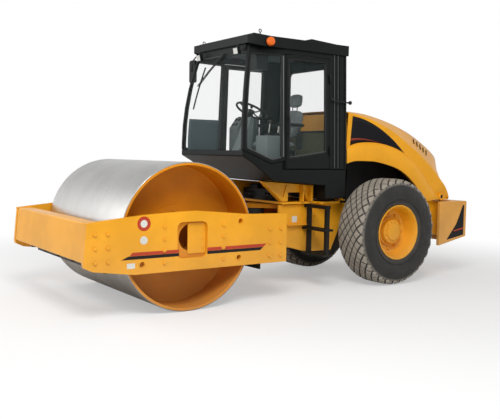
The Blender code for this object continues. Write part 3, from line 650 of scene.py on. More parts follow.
def bolt(size, height, axis="Y"):
    """A hexagon head on a round washer, standing up from zero along an axis."""
    washer = turned([(0, 0), (size * 1.25, 0), (size * 1.25, size * 0.18), (0, size * 0.18)],
                    (0, 0, 0), axis, 20)
    head = turned([(0, size * 0.18), (size * 0.98, size * 0.18), (size * 0.98, height * 0.85),
                   (size * 0.80, height), (0, height)], (0, 0, 0), axis, 6)
    return joined(washer, head)


drum_shell()
for name, side in SIDES:
    drum_head(name, side)

# %% [markdown]
# ## The yoke's fittings
# Rows of bolts hold the beam, the drum's supports and the rear cross member to each side plate. Two
# pairs of stripes and three blank stickers are thin films that lie on the plate. Everything stands
# on the plate's outer face, so one offset places it all.

# %% Bolts, holes, stripes and stickers
PLATE = spans("yoke_plate_left")[1][1]
FILM = 0.0012
BOLT_PLACES = (                 # x, z of the bolts on a side plate, by group
    [(x, z) for x, zs in ((2.885, (0.904, 0.764, 0.620)), (2.746, (0.904, 0.764, 0.620)),
                          (0.745, (0.865, 0.704, 0.553)), (0.589, (0.865, 0.704, 0.553)),
                          (2.112, (0.954, 0.822, 0.706, 0.568)),
                          (1.378, (0.941, 0.816, 0.690, 0.562))) for z in zs])
STRIPES = (                     # name, finish, outline as x and z
    ("front_red", RED, [(2.510, 0.664), (2.480, 0.700), (1.937, 0.700), (1.937, 0.664)]),
    ("front_black", DECAL, [(2.605, 0.628), (2.525, 0.662), (1.937, 0.662), (1.937, 0.628)]),
    ("rear_red", RED, [(1.585, 0.700), (0.787, 0.700), (0.830, 0.664), (1.585, 0.664)]),
    ("rear_black", DECAL, [(1.585, 0.662), (0.835, 0.662), (0.878, 0.628), (1.585, 0.628)]))


def yoke_fittings(name, side):
    """Everything bolted to or stuck on one side plate."""
    heads = repeated(bolt(0.021, 0.017), [(x, PLATE, z) for x, z in BOLT_PLACES])
    piece(f"yoke_bolts_{name}", sided(heads, side), YELLOW, "front_frame", bevel=0.0015)
    rings = [turned([(0.030, PLATE), (0.041, PLATE), (0.038, PLATE + 0.004), (0.030, PLATE + 0.005)],
                    (x, 0, z), "Y", 32) for x, z in ((2.371, 0.568), (1.172, 0.565), (1.154, 0.975))]
    piece(f"tie_down_rims_{name}", sided(joined(*rings), side), YELLOW, "front_frame")
    for label, finish, outline in STRIPES:
        piece(f"stripe_{label}_{name}", sided(prism(outline, "Y", PLATE, PLATE + FILM), side),
              finish, "front_frame")
    mark = (2.350, 0, 0.998 - 0.006)
    badge = turned([(0.040, PLATE), (0.076, PLATE), (0.076, PLATE + FILM), (0.040, PLATE + FILM)],
                   mark, "Y", 48)
    pale = turned([(0.0, PLATE), (0.0395, PLATE), (0.0395, PLATE + FILM), (0, PLATE + FILM)],
                  mark, "Y", 32)
    disc = turned([(0, PLATE), (0.043, PLATE), (0.043, PLATE + FILM), (0, PLATE + FILM)],
                  (2.351, 0, 0.820), "Y", 32)
    label = prism(rounded((2.450, 2.540), (0.535, 0.590), 0.006), "Y", PLATE, PLATE + FILM)
    piece(f"lifting_ring_mark_{name}", sided(badge, side), RED, "front_frame")
    piece(f"blank_stickers_{name}", sided(joined(pale, disc, label), side), WHITE, "front_frame")


def window_cover(name, side):
    """A plate behind the side plate's big opening, held by a column of small bolts."""
    plate = prism(rounded((1.585, 1.810), (0.640, 0.975), 0.02), "Y", PLATE - 0.048, PLATE - 0.040)
    heads = repeated(bolt(0.009, 0.008), [(1.622, PLATE - 0.040, z) for z in (0.70, 0.80, 0.90)])
    piece(f"window_cover_{name}", sided(joined(plate, heads), side), YELLOW, "front_frame", bevel=0.0015)


def beam_details():
    """The seams along the beam's top edges, and the front scraper's rubber blade."""
    x, y, z = spans("front_beam")
    seams = [tube(np.array([(x[0] + 0.01, s * (y[1] - 0.004), z[1] - 0.004),
                            (x[1] - 0.012, s * (y[1] - 0.004), z[1] - 0.004)]), 0.006, 8)
             for s in (1, -1)]
    piece("beam_seams", joined(*seams), YELLOW, "front_frame")
    blade = block((2.700, 2.717), (-1.030, 1.030), (0.484, 0.552))
    piece("scraper_blade", blade, HOSE, "front_frame", bevel=0.002)


for name, side in SIDES:
    yoke_fittings(name, side)
    window_cover(name, side)
beam_details()

# %% [markdown]
# ## The wheels
# The carcass is a profile swept round the axle. The tread is a lattice of diamond blocks: each block
# is a small frustum, and its corners are worked out in two parameters, the angle round the tyre and
# the distance across it, then laid on the crown. Moving the same frustum by whole steps gives them all.

# %% Tyres
TYRE_TOP = spans("tyre_left")[2][1] - AXLE[2]
TYRE_Y = spans("tyre_left")[1]
TYRE_MID = sum(TYRE_Y) / 2
TYRE_HALF = (TYRE_Y[1] - TYRE_Y[0]) / 2
GROOVE = 0.024
RIM_R = 0.350
BLOCKS_ROUND = 30


def crown(across):
    """The tread's radius at a distance from the middle: flat, then falling off at the shoulders."""
    edge = np.clip((np.abs(across) / TYRE_HALF - 0.45) / 0.55, 0, 1)
    return TYRE_TOP - 0.085 * edge ** 2.3


def tread_blocks():
    """Diamonds in rows across the tread, every second row half a step round."""
    step = 2 * np.pi / BLOCKS_ROUND
    pitch = TYRE_HALF * 2 / 5.0
    shape = np.array([(-0.5, 0), (0, -0.5), (0.5, 0), (0, 0.5)])  # round, across, in steps
    rows = np.arange(-5, 6) * pitch / 2
    count = np.arange(BLOCKS_ROUND)
    u = (count[None, :] + 0.5 * (np.arange(11) % 2)[:, None]) * step
    v = np.repeat(rows[:, None], BLOCKS_ROUND, 1)
    centres = np.stack([u.ravel(), v.ravel()], -1)
    centres = centres[np.abs(centres[:, 1]) < TYRE_HALF - 0.030]
    levels = ((0.86, -GROOVE - 0.008), (0.79, -0.008), (0.70, 0.0))
    layers = []
    for share, height in levels:
        corner = centres[:, None] + shape[None] * share * np.array([step, pitch])
        across = np.clip(corner[..., 1], -TYRE_HALF + 0.022, TYRE_HALF - 0.022)
        radius = crown(across) + height
        layers.append((radius, corner[..., 0], across))
    points = np.stack([on_axis(r * np.cos(a), r * np.sin(a), w, "Y") for r, a, w in layers], 1)
    points = points.reshape(-1, 3) + (AXLE[0], TYRE_MID, AXLE[2])
    one = [(k * 4 + i, k * 4 + (i + 1) % 4, k * 4 + 4 + (i + 1) % 4, k * 4 + 4 + i)
           for k in (0, 1) for i in range(4)] + [(8, 9, 10, 11), (3, 2, 1, 0)]
    faces = [tuple(i + 12 * n for i in cell) for n in range(len(centres)) for cell in one]
    return points, faces


def tyre(name, side):
    """Carcass, tread blocks and the moulded rib on the wall."""
    half = TYRE_HALF
    across = np.linspace(-half * 0.93, half * 0.93, 19)
    top = [(r - GROOVE, w) for r, w in zip(crown(across), across)]
    wall = [(TYRE_TOP - 0.112, half - 0.013), (TYRE_TOP - 0.142, half - 0.004),
            (TYRE_TOP - 0.180, half), (TYRE_TOP - 0.235, half - 0.003),
            (RIM_R + 0.075, half - 0.020), (RIM_R + 0.040, half - 0.034), (RIM_R + 0.012, half - 0.050),
            (RIM_R, half - 0.062)]
    profile = top + wall + [(r, -w) for r, w in reversed(wall)]
    place = (AXLE[0], TYRE_MID, AXLE[2])
    r, foot, crest = RIM_R + 0.085, half - 0.016, half - 0.010
    rib = turned([(r - 0.004, foot), (r + 0.004, foot), (r + 0.002, crest), (r - 0.002, crest)],
                 place, "Y", 96)
    whole = joined(turned(profile, place, "Y", 96), rib)
    made = piece(f"tyre_carcass_{name}", sided(whole, side), RUBBER, f"wheel_{name}", "tyre_rubber")
    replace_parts(made, f"tyre_{name}")
    piece(f"tyre_tread_{name}", sided(tread_blocks(), side), RUBBER, f"wheel_{name}", "tyre_rubber",
          angle=25)


# %% [markdown]
# The rim is a deep dish pressed from plate, with a rolled flange that holds the tyre. The planetary
# hub stands in it, with a ring of wheel nuts and a smaller ring of cover bolts.

# %% Rims and hubs
def rim(name, side):
    """The dish and flange, the hub, its two rings of bolts and the valve."""
    out = TYRE_Y[1]
    web = out - 0.235
    centre = (AXLE[0], 0, AXLE[2])
    dish = [(0.0, TYRE_Y[0] + 0.10), (0.318, TYRE_Y[0] + 0.10), (0.318, TYRE_Y[0] + 0.075),
            (RIM_R - 0.0005, TYRE_Y[0] + 0.075), (RIM_R - 0.0005, out - 0.062),
            (RIM_R + 0.016, out - 0.046), (RIM_R + 0.018, out - 0.036), (RIM_R + 0.008, out - 0.032),
            (RIM_R - 0.006, out - 0.040), (RIM_R - 0.020, out - 0.070), (RIM_R - 0.030, out - 0.095),
            (RIM_R - 0.036, out - 0.150), (RIM_R - 0.062, web + 0.010), (RIM_R - 0.082, web),
            (0.215, web), (0.0, web)]
    plate = piece(f"rim_dish_{name}", sided(turned(dish, centre, "Y", 96), side), YELLOW,
                  f"wheel_{name}")
    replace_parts(plate, f"rim_{name}")
    hub = [(0.0, web), (0.190, web), (0.190, web + 0.030), (0.172, web + 0.036), (0.160, web + 0.085),
           (0.150, web + 0.092), (0.118, web + 0.096), (0.112, web + 0.112), (0.060, web + 0.118),
           (0.0, web + 0.118)]
    piece(f"hub_{name}", sided(turned(hub, centre, "Y", 72), side), YELLOW, f"wheel_{name}")
    nuts = arc((AXLE[0], AXLE[2]), 0.236, 0, 330, 11)
    cover = arc((AXLE[0], AXLE[2]), 0.136, 15, 345, 11)
    heads = joined(repeated(bolt(0.017, 0.026), [(x, web, z) for x, z in nuts]),
                   repeated(bolt(0.009, 0.010), [(x, web + 0.094, z) for x, z in cover]))
    valve = tube([(AXLE[0] + 0.27, web, AXLE[2] + 0.05),
                  (AXLE[0] + 0.275, web + 0.05, AXLE[2] + 0.052)], 0.006, 10)
    piece(f"wheel_nuts_{name}", sided(joined(heads, valve), side), YELLOW, f"wheel_{name}", bevel=0.0012)


for name, side in SIDES:
    tyre(name, side)
    rim(name, side)

# %% [markdown]
# ## The bonnet
# The bonnet is one moulding. Four lines run along it from the cab to the tail: the crest, the crease
# below it, the upper edge of the wing's band, and the wheel arch. Each is a smooth curve through a few
# points, resampled to the same number of steps, so that a skin can be ruled from one to the next.

# %% The four lines
STEPS = 96
HOOD_X = spans("hood")[0]
HOOD_Y = spans("hood")[1][1]
HOOD_FRONT = -0.835
CREST = [(HOOD_FRONT, 2.330), (-1.100, 2.317), (-1.345, 2.284), (-1.716, 2.198), (-2.090, 2.070),
         (-2.400, 1.915), (-2.615, 1.775), (-2.690, 1.672), (-2.700, 1.440), (-2.700, 1.165)]
CREASE = [(HOOD_FRONT, 2.292), (-0.900, 2.287), (-1.100, 2.248), (-1.350, 2.165), (-1.610, 2.040),
          (-1.780, 1.928), (-1.955, 1.817), (-2.135, 1.692), (-2.320, 1.551), (-2.490, 1.407),
          (-2.605, 1.309), (-2.672, 1.211), (-2.694, 1.140)]
BAND = [(HOOD_FRONT, 1.815), (-1.020, 1.872), (-1.240, 1.892), (-1.480, 1.868), (-1.720, 1.795),
        (-1.940, 1.672), (-2.150, 1.480), (-2.330, 1.290), (-2.440, 1.180), (-2.690, 1.128)]
ARCH = [(HOOD_FRONT, 1.622), (-0.970, 1.655), (-1.170, 1.658), (-1.375, 1.640), (-1.706, 1.542),
        (-1.975, 1.346), (-2.170, 1.120), (-2.430, 1.117), (-2.688, 1.117)]
CREST_Y = 0.600


def even(points, steps=STEPS):
    """A smooth curve through points, resampled so that its steps are equally long."""
    path = smooth_path([(x, 0.0, z) for x, z in points], 400)[:, [0, 2]]
    length = np.concatenate([[0], np.cumsum(np.linalg.norm(np.diff(path, axis=0), axis=1))])
    want = np.linspace(0, length[-1], steps)
    return np.stack([np.interp(want, length, path[:, i]) for i in (0, 1)], -1)


def ease(value):
    """A smooth step from 0 to 1."""
    value = np.clip(value, 0, 1)
    return value * value * (3 - 2 * value)


def reach(x):
    """How far out the wing stands: flush with the cab in front, wider over the wheel."""
    return 0.698 + (HOOD_Y - 0.700) * ease((HOOD_FRONT - x) / 1.30)


def line(points, y):
    """One of the four lines in space. y is a number or a function of x."""
    flat = even(points)
    out = y(flat[:, 0]) if callable(y) else np.full(STEPS, y)
    return np.stack([flat[:, 0], out, flat[:, 1]], -1)


LINES = [line(CREST, CREST_Y), line(CREASE, lambda x: reach(x) + 0.010),
         line(BAND, lambda x: reach(x) - 0.026), line(ARCH, reach)]


# %% The moulding
def flank(share, between):
    """Points between two neighbouring lines, at a share from 0 to 1 of the way down."""
    one, two = LINES[between], LINES[between + 1]
    return one + (two - one) * share


def bonnet():
    """Right edge, right flank, crowned top, left flank and left edge, as one surface."""
    crest, arch = LINES[0], LINES[3]
    along = np.gradient(crest, axis=0)
    normal = np.stack([-along[:, 2], np.zeros(STEPS), along[:, 0]], -1)
    normal *= -1 / np.linalg.norm(normal, axis=1)[:, None]
    crown = lambda y: -normal * 0.014 * (y / CREST_Y) ** 2
    top = [crest * (1, 0, 1) + (0, y, 0) + crown(y) for y in np.linspace(-CREST_Y, CREST_Y, 19)]
    drop = crown(CREST_Y)
    side = [LINES[0] + drop * (1 - k) + (LINES[1] - LINES[0]) * k for k in (0.16, 0.5, 0.80, 0.95)]
    side += [flank(k, 1) for k in (0.015, 0.05, 0.35, 0.65, 0.93, 0.985)]
    bulge = np.array([0, 0.012, 0])
    side += [flank(0.02, 2) + bulge, flank(0.08, 2) + bulge * 1.5, flank(0.5, 2) + bulge,
             flank(0.94, 2) + bulge * 0.4, arch, arch - (0, 0.012, 0) + (0, 0, 0.006),
             arch - (0, 0.050, 0) + (0, 0, 0.006)]
    mirror = np.array([1, -1, 1])
    rows = [row * mirror for row in reversed(side)] + top + side
    skin = np.stack(rows)
    skin[..., 1] = np.clip(skin[..., 1], -HOOD_Y, HOOD_Y)
    made = piece("bonnet_skin", grid(skin), YELLOW, "bonnet", angle=50)
    wall = made.modifiers.new("wall", "SOLIDIFY")
    wall.thickness, wall.offset = 0.010, -1.0
    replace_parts(made, "hood")


bonnet()


# %% Films on the flank: a dark panel with a red sweep
def film(name, top, bottom, first, last, finish, lift=0.0016):
    """A patch of the flank between two shares that are functions of k, from 0 at the cab to 1."""
    start, end = int(first * STEPS), int(last * STEPS)
    k = np.linspace(0, 1, end - start)
    one, two = LINES[1][start:end], LINES[2][start:end]
    rows = []
    for share in np.linspace(0, 1, 7):
        way = (top(k) + (bottom(k) - top(k)) * share)[:, None]
        rows.append(one + (two - one) * way + (0, lift, 0))
    for label, side in SIDES:
        made = piece(f"{name}_{label}", sided(grid(np.stack(rows)), side), finish, "bonnet")
        thick = made.modifiers.new("film", "SOLIDIFY")
        thick.thickness, thick.offset = 0.0012, 0.0


film("bonnet_panel", lambda k: 0.08 + 0.83 * k ** 2.6, lambda k: 0.94 - 0.02 * k, 0.036, 0.475,
     DECAL, 0.0024)
film("bonnet_sweep", lambda k: 0.74 + 0.17 * k ** 1.3, lambda k: 0.81 + 0.105 * k ** 1.3,
     0.036, 0.300, DARK_RED, 0.0038)


# %% Louvres, grille, bosses and the posts in front
def louvres():
    """Five slanted slots high on each flank, each a rounded dark inlay."""
    shapes = []
    for k in range(5):
        at = int((0.548 + 0.031 * k) * STEPS)
        upper, lower = (LINES[0][at] + (LINES[1][at] - LINES[0][at]) * share for share in (0.26, 0.56))
        shapes.append(tube(smooth_path([upper, (upper + lower) / 2, lower], 8), 0.0065, 10))
    return joined(*shapes)


def tail_grille():
    """Slats across the tail, in a frame, for the radiator's air."""
    x = HOOD_X[0] + 0.006
    slats = [moved(block((-0.012, 0.012), (-0.400, 0.400), (-0.006, 0.006)),
                   (x, 0, z), about("Y", -35)) for z in np.arange(1.250, 1.600, 0.030)]
    posts = [block((x - 0.014, x + 0.010), (y - 0.012, y + 0.012), (1.225, 1.610))
             for y in (-0.410, -0.137, 0.137, 0.410)]
    return joined(*slats, *posts)


TILT_PIN = (-2.532, 0, 1.158)
for name, side in SIDES:
    piece(f"bonnet_louvres_{name}", sided(louvres(), side), DECAL, "bonnet", "black_paint")
    boss = [(0.026, HOOD_Y - 0.030), (0.058, HOOD_Y - 0.030), (0.058, HOOD_Y + 0.010),
            (0.052, HOOD_Y + 0.016), (0.034, HOOD_Y + 0.016), (0.026, HOOD_Y + 0.010)]
    ring = turned(boss, TILT_PIN, "Y", 40)
    pin = turned([(0, HOOD_Y - 0.030), (0.025, HOOD_Y - 0.030), (0.025, HOOD_Y + 0.006),
                  (0, HOOD_Y + 0.006)], TILT_PIN, "Y", 24)
    piece(f"bonnet_boss_{name}", sided(ring, side), YELLOW, "bonnet", bevel=0.002)
    piece(f"bonnet_pin_{name}", sided(pin, side), IRON, "bonnet", bevel=0.002)
    post = joined(block((-0.895, -0.845), (0.510, 0.572), (1.120, 1.575)),
                  block((-0.925, -0.815), (0.490, 0.582), (1.120, 1.135)))
    piece(f"bonnet_rest_{name}", sided(post, side), YELLOW, "rear_frame", bevel=0.006)
bulkhead = [(0.680, 1.640), (0.690, 1.800), (0.648, 2.232), (0.462, 2.288)]
bulkhead += [(-y, z) for y, z in reversed(bulkhead)]
piece("bonnet_bulkhead", prism(bulkhead, "X", -0.850, -0.842), YELLOW, "bonnet", bevel=0.002)
piece("tail_grille", tail_grille(), BLACK, "bonnet", bevel=0.002)
piece("tail_mesh", block((HOOD_X[0] + 0.012, HOOD_X[0] + 0.018), (-0.40, 0.40), (1.235, 1.600)), IRON,
      "bonnet", "black_paint")

# %% [markdown]
# ## The tail weight
# The casting carries a dark wedge with a thin stripe and two lamps on its back. A tank stands on
# each side of the frame in front of it, and a towing jaw hangs below.

# %% Wedge, lamps and jaw
WEIGHT_Y = spans("counterweight")[1][1]
WEIGHT_BACK = spans("counterweight")[0][0]


def weight_films(side, name):
    """A wedge that follows the back edge, and a stripe low on it."""
    wedge = [(-2.955, 1.030), (-2.925, 1.030), (-2.865, 0.900), (-2.790, 0.755), (-2.590, 0.532),
             (-2.955, 0.592)]
    stripe = [(-2.955, 0.700), (-2.752, 0.668), (-2.735, 0.648), (-2.955, 0.681)]
    piece(f"tail_wedge_{name}", sided(prism(wedge, "Y", WEIGHT_Y, WEIGHT_Y + FILM), side), DECAL,
          "rear_frame")
    piece(f"tail_stripe_{name}", sided(prism(stripe, "Y", WEIGHT_Y + FILM, 2 * FILM + WEIGHT_Y), side),
          RED, "rear_frame")


def tail_lamp(side, name):
    """A round red lamp in a black ring."""
    place = (0, 0.70, 0.93)
    back = -WEIGHT_BACK
    ring = turned([(0.040, back), (0.058, back), (0.058, back + 0.014), (0.046, back + 0.022),
                   (0.040, back + 0.016)], (0, 0, 0), "X", 32)
    glow = turned([(0.0, back), (0.0395, back), (0.0395, back + 0.012), (0.026, back + 0.019),
                   (0.0, back + 0.022)], (0, 0, 0), "X", 32)
    for label, shape, finish in (("ring", ring, BLACK), ("lens", glow, RED)):
        turned_round = (shape[0] * (-1, 1, 1) + place, shape[1])
        piece(f"tail_lamp_{label}_{name}", sided(turned_round, side), finish, "rear_frame", "")


for name, side in SIDES:
    weight_films(side, name)
    tail_lamp(side, name)
tank = joined(prism(rounded((-2.575, -2.270), (0.515, 0.790), 0.02), "Z", 0.600, 1.090),
              prism(rounded((-2.575, -2.264), (0.508, 0.802), 0.008), "Z", 1.0902, 1.104))
for name, side in SIDES:
    piece(f"tail_tank_{name}", sided(tank, side), YELLOW, "rear_frame", bevel=0.005)
WEIGHT_LOW = spans("counterweight")[2][0]
cheek = [(-2.985, WEIGHT_LOW), (-2.860, WEIGHT_LOW), (-2.885, WEIGHT_LOW - 0.110),
         (-2.920, WEIGHT_LOW - 0.125), (-2.955, WEIGHT_LOW - 0.110)]
jaw = joined(*[prism(cheek, "Y", y - 0.009, y + 0.009) for y in (-0.045, 0.045)])
pin = turned([(0, -0.080), (0.017, -0.080), (0.017, 0.056), (0.027, 0.058), (0.027, 0.072), (0, 0.072)],
             (-2.920, 0, WEIGHT_LOW - 0.080), "Y", 20)
piece("towing_jaw", joined(jaw, pin), IRON, "rear_frame", bevel=0.002)

# %% [markdown]
# ## The cab's skin
# The side walls lean in and bow back at their front corner. Two formulas that follow the walls' lean and
# bow place everything that lies on them: seals, trims, hinges and the door's stay.

# %% Placing things on the leaning walls
CAB_HALF, CAB_SILL, CAB_FRONT, DOOR_FRONT = 0.745, 1.760, 0.868, 0.229
WALL_RISE, WALL_LEAN, FRONT_TUCK = 1.190, 0.045, 0.127      # wall height, and how far it leans in
BOW_FOOT, BOW_RISE, BOW_BACK = 1.860, 1.090, 0.145          # where the front bows back, and how far


def bowed(z):
    """How far back the cab's front stands at a height."""
    return BOW_BACK * np.maximum((z - BOW_FOOT) / BOW_RISE, 0) ** 2


def on_wall(x, z, out=0.0):
    """A point on the left wall's outer face: y falls with height, more so towards the front."""
    x, z = np.asarray(x, float), np.asarray(z, float)
    rise = (z - CAB_SILL) / WALL_RISE
    above = np.maximum(rise, 0)
    front = np.clip((x - DOOR_FRONT) / (CAB_FRONT - DOOR_FRONT), 0, 1)
    y = CAB_HALF - WALL_LEAN * rise - front * (FRONT_TUCK * above ** 2 - WALL_LEAN * above) + out
    return np.stack([x - front * bowed(z), y, z], -1)


def on_screen(y, z, out=0.0):
    """A point on the windscreen: upright at its foot, then bowed back."""
    y, z = np.asarray(y, float), np.asarray(z, float)
    return np.stack([CAB_FRONT - bowed(z) - 0.012 + out, y, z], -1)


def dense(outline, step=0.04, closed=True):
    """Extra points along an outline, so that it can bend with the wall."""
    points = np.array(outline, float)
    ends = np.roll(points, -1, 0) if closed else points[1:]
    starts = points if closed else points[:-1]
    runs = [a + (b - a) * np.linspace(0, 1, max(int(np.linalg.norm(b - a) / step), 1),
                                      endpoint=False)[:, None] for a, b in zip(starts, ends)]
    return np.vstack(runs if closed else runs + [points[-1:]])


def loop_tube(path, radius, sides=8):
    """A tube along a closed path: the same circle, with its last ring joined to its first."""
    along = np.roll(path, -1, 0) - np.roll(path, 1, 0)
    along /= np.linalg.norm(along, axis=1)[:, None]
    out = np.cross(along, (0.0, 1.0, 0.0))
    out /= np.linalg.norm(out, axis=1)[:, None]
    lift = np.cross(out, along)
    angle = 2 * np.pi * np.arange(sides) / sides
    ring = np.cos(angle)[None, :, None] * out[:, None] + np.sin(angle)[None, :, None] * lift[:, None]
    return grid(path[:, None] + radius * ring, wrap_rows=True, wrap_cols=True)


def strip(path, across, lift):
    """A flat strip along a path: four corners carried along it."""
    path = np.asarray(path)
    across, lift = np.array(across), np.array(lift)
    ring = np.stack([path - across, path + across, path + across + lift, path - across + lift], 1)
    return grid(ring, wrap_cols=True, caps=True)


# %% Seals, trims, hinges, handles and the door's stay
FRONT_PANE = [(0.812, 1.797), (0.440, 1.653), (0.288, 1.683), (0.288, 2.937), (0.812, 2.937)]
DOOR_PANE = [(0.170, 1.676), (0.170, 2.902), (-0.421, 2.902), (-0.421, 1.758)]


def rounded_outline(outline, radius=0.03, steps=4):
    """Cut each corner of an outline with a quadratic curve."""
    points = np.array(outline, float)
    before, after = np.roll(points, 1, 0), np.roll(points, -1, 0)
    toward = lambda a: (a - points) / np.linalg.norm(a - points, axis=1)[:, None] * radius
    start, end = points + toward(before), points + toward(after)
    t = np.linspace(0, 1, steps)[None, :, None]
    curve = (1 - t) ** 2 * start[:, None] + 2 * t * (1 - t) * points[:, None] + t ** 2 * end[:, None]
    return curve.reshape(-1, 2)


def cab_side_details(name, side):
    """Everything that lies on one side wall or on its door."""
    for label, outline, body in (("front", FRONT_PANE, "rear_frame"), ("door", DOOR_PANE, f"door_{name}")):
        flat = dense(rounded_outline(outline))
        seal = loop_tube(on_wall(flat[:, 0], flat[:, 1], -0.004), 0.009)
        piece(f"{label}_seal_{name}", sided(seal, side), HOSE, body, "")
    rail = np.linspace(1.70, 2.935, 14)
    trim = strip(on_wall(np.full(14, 0.264), rail, 0.0), (0.009, 0, 0), (0, 0.006, 0))
    piece(f"post_trim_{name}", sided(trim, side), TRIM, "rear_frame", bevel=0.0015)
    rail = np.linspace(1.56, 3.03, 16)
    ribs = [strip(on_wall(np.full(16, x), rail, 0.0), (w, 0, 0), (0, 0.010, 0))
            for x, w in ((-0.660, 0.012), (-0.745, 0.006))]
    piece(f"rear_post_ribs_{name}", sided(joined(*ribs), side), BLACK, "rear_frame", bevel=0.003)
    edges = [strip(on_wall(np.full(16, x), rail, 0.0), (0.0035, 0, 0), (0, 0.011, 0))
             for x in (-0.560, -0.622)]
    piece(f"rear_post_edges_{name}", sided(joined(*edges), side), TRIM, "rear_frame")
    edge = np.linspace(1.57, 2.94, 12)
    channel = strip(on_wall(np.full(12, 0.205), edge, 0.0), (0.010, 0, 0), (0, 0.007, 0))
    piece(f"door_edge_{name}", sided(channel, side), BLACK, f"door_{name}", bevel=0.002)
    pull = [on_wall(0.200, z, o) for z, o in ((1.98, 0.0), (2.00, 0.045), (2.10, 0.050), (2.20, 0.045),
                                               (2.22, 0.0))]
    piece(f"door_handle_{name}", sided(tube(smooth_path(pull, 20), 0.009, 10, (1, 0, 0)), side),
          HOSE, f"door_{name}")
    for k, z in enumerate((1.78, 2.70)):
        x, y, _ = on_wall(-0.484, z)
        knuckle = turned([(0, -0.055), (0.011, -0.055), (0.013, -0.050), (0.013, 0.050),
                          (0.011, 0.055), (0, 0.055)], (x, y + 0.016, z), "Z", 16)
        leaf = block((x - 0.060, x - 0.004), (y - 0.004, y + 0.008), (z - 0.040, z + 0.040))
        piece(f"hinge_{k}_{name}", sided(joined(knuckle, leaf), side), BLACK, "rear_frame", bevel=0.0015)
    bar = [on_wall(-0.505, 2.462, 0.012), on_wall(-0.530, 2.428, 0.040), on_wall(-0.700, 2.415, 0.046),
           on_wall(-0.800, 2.415, 0.045)]
    knob = turned([(0, -0.020), (0.014, -0.020), (0.024, -0.010), (0.026, 0.004), (0.018, 0.018),
                   (0, 0.022)], (0, 0, 0), "X", 20)
    stay = joined(tube(smooth_path(bar, 18), 0.010, 10), moved(knob, on_wall(-0.800, 2.415, 0.045)))
    piece(f"door_stay_{name}", sided(stay, side), HOSE, "rear_frame")


for name, side in SIDES:
    cab_side_details(name, side)
print("cab walls dressed")

# %% [markdown]
# ## The roof and the windscreen
# The roof overhangs in a visor whose edge is a folded lip. Two work lamps and the wiper hang below it,
# and a turn lamp and a lifting eye sit near each front corner.

# %% Roof lip, lamps, eyes, wiper and mirror
ROOF_PLAN = [(0.747, 0.634), (0.575, 0.725), (-0.787, 0.725)]


def roof_lip():
    """A folded edge all round the roof, a little deeper than the sheet behind it."""
    half = np.array(ROOF_PLAN)
    plan = np.vstack([half, (half * (1, -1))[::-1]])
    inner = plan * (0.985, 0.975)
    low, high = 3.020 + 0.032 * ease((plan[:, 0] - 0.55) / 0.19), np.full(len(plan), 3.150)
    rings = [np.column_stack([p, z]) for p, z in
             ((inner, low), (plan * 1.004, low), (plan * 1.004, high), (inner, high))]
    return grid(np.stack(rings), wrap_rows=True, wrap_cols=True)


def work_lamp(y):
    """A square lamp with a pale lens, tilted down, on a small bracket."""
    case = moved(block((-0.045, 0.0), (-0.048, 0.048), (-0.042, 0.042)), turn=about("Y", 12))
    stem = block((-0.035, -0.020), (-0.012, 0.012), (0.030, 0.075))
    lens = moved(block((0.0, 0.008), (-0.041, 0.041), (-0.035, 0.035)), turn=about("Y", 12))
    place = (0.800, y, 2.968)
    return moved(joined(case, stem), place), moved(lens, place)


def eye_bolt(side):
    """A ring on a short shank."""
    angle = np.linspace(0, 2 * np.pi, 24, endpoint=False)
    x, y, z = 0.582, 0.655 * side, 3.208
    path = np.column_stack([x + 0.018 * np.cos(angle), np.full(24, y), z + 0.018 * np.sin(angle)])
    shank = turned([(0, 3.150), (0.014, 3.150), (0.014, 3.165), (0.007, 3.168), (0.007, 3.192),
                    (0, 3.192)], (x, y, 0), "Z", 16)
    return joined(loop_tube(path, 0.0055), shank)


def wiper(top_y, elbow, blade):
    """An arm from the header to the blade's middle, and a blade that lies on the glass."""
    root = on_screen(top_y, 2.955, 0.034)
    middle_point = on_screen(*elbow, 0.040)
    arm = tube(smooth_path([root, (root + middle_point) / 2 + (0.012, 0, 0), middle_point], 12),
               0.0065, 8, (1, 0, 0))
    twin = moved(arm, (0.0, 0.030, -0.006))
    rubber = tube(on_screen(np.linspace(blade[0][0], blade[1][0], 10),
                            np.linspace(blade[0][1], blade[1][1], 10), 0.022), 0.010, 8, (1, 0, 0))
    motor = turned([(0, -0.02), (0.028, -0.02), (0.028, 0.03), (0.012, 0.042), (0, 0.042)],
                   root - (0.030, 0, 0), "X", 20)
    return joined(arm, twin, rubber, motor)


def mirror(side):
    """A tall mirror on a bent arm at the front post."""
    x, y, z = 0.650, 0.800, 2.835
    head = prism(rounded((y - 0.075, y + 0.075), (z - 0.150, z + 0.150), 0.03), "X", x, x + 0.035)
    arm = tube(smooth_path([(0.690, 0.640, 3.030), (0.680, 0.720, 3.010), (x + 0.030, 0.790, 2.960),
                            (x + 0.040, 0.800, 2.830)], 16), 0.009, 10)
    glassy = prism(rounded((y - 0.064, y + 0.064), (z - 0.138, z + 0.138), 0.025), "X",
                   x - 0.002, x + 0.001)
    return sided(joined(head, arm), side), sided(glassy, side)


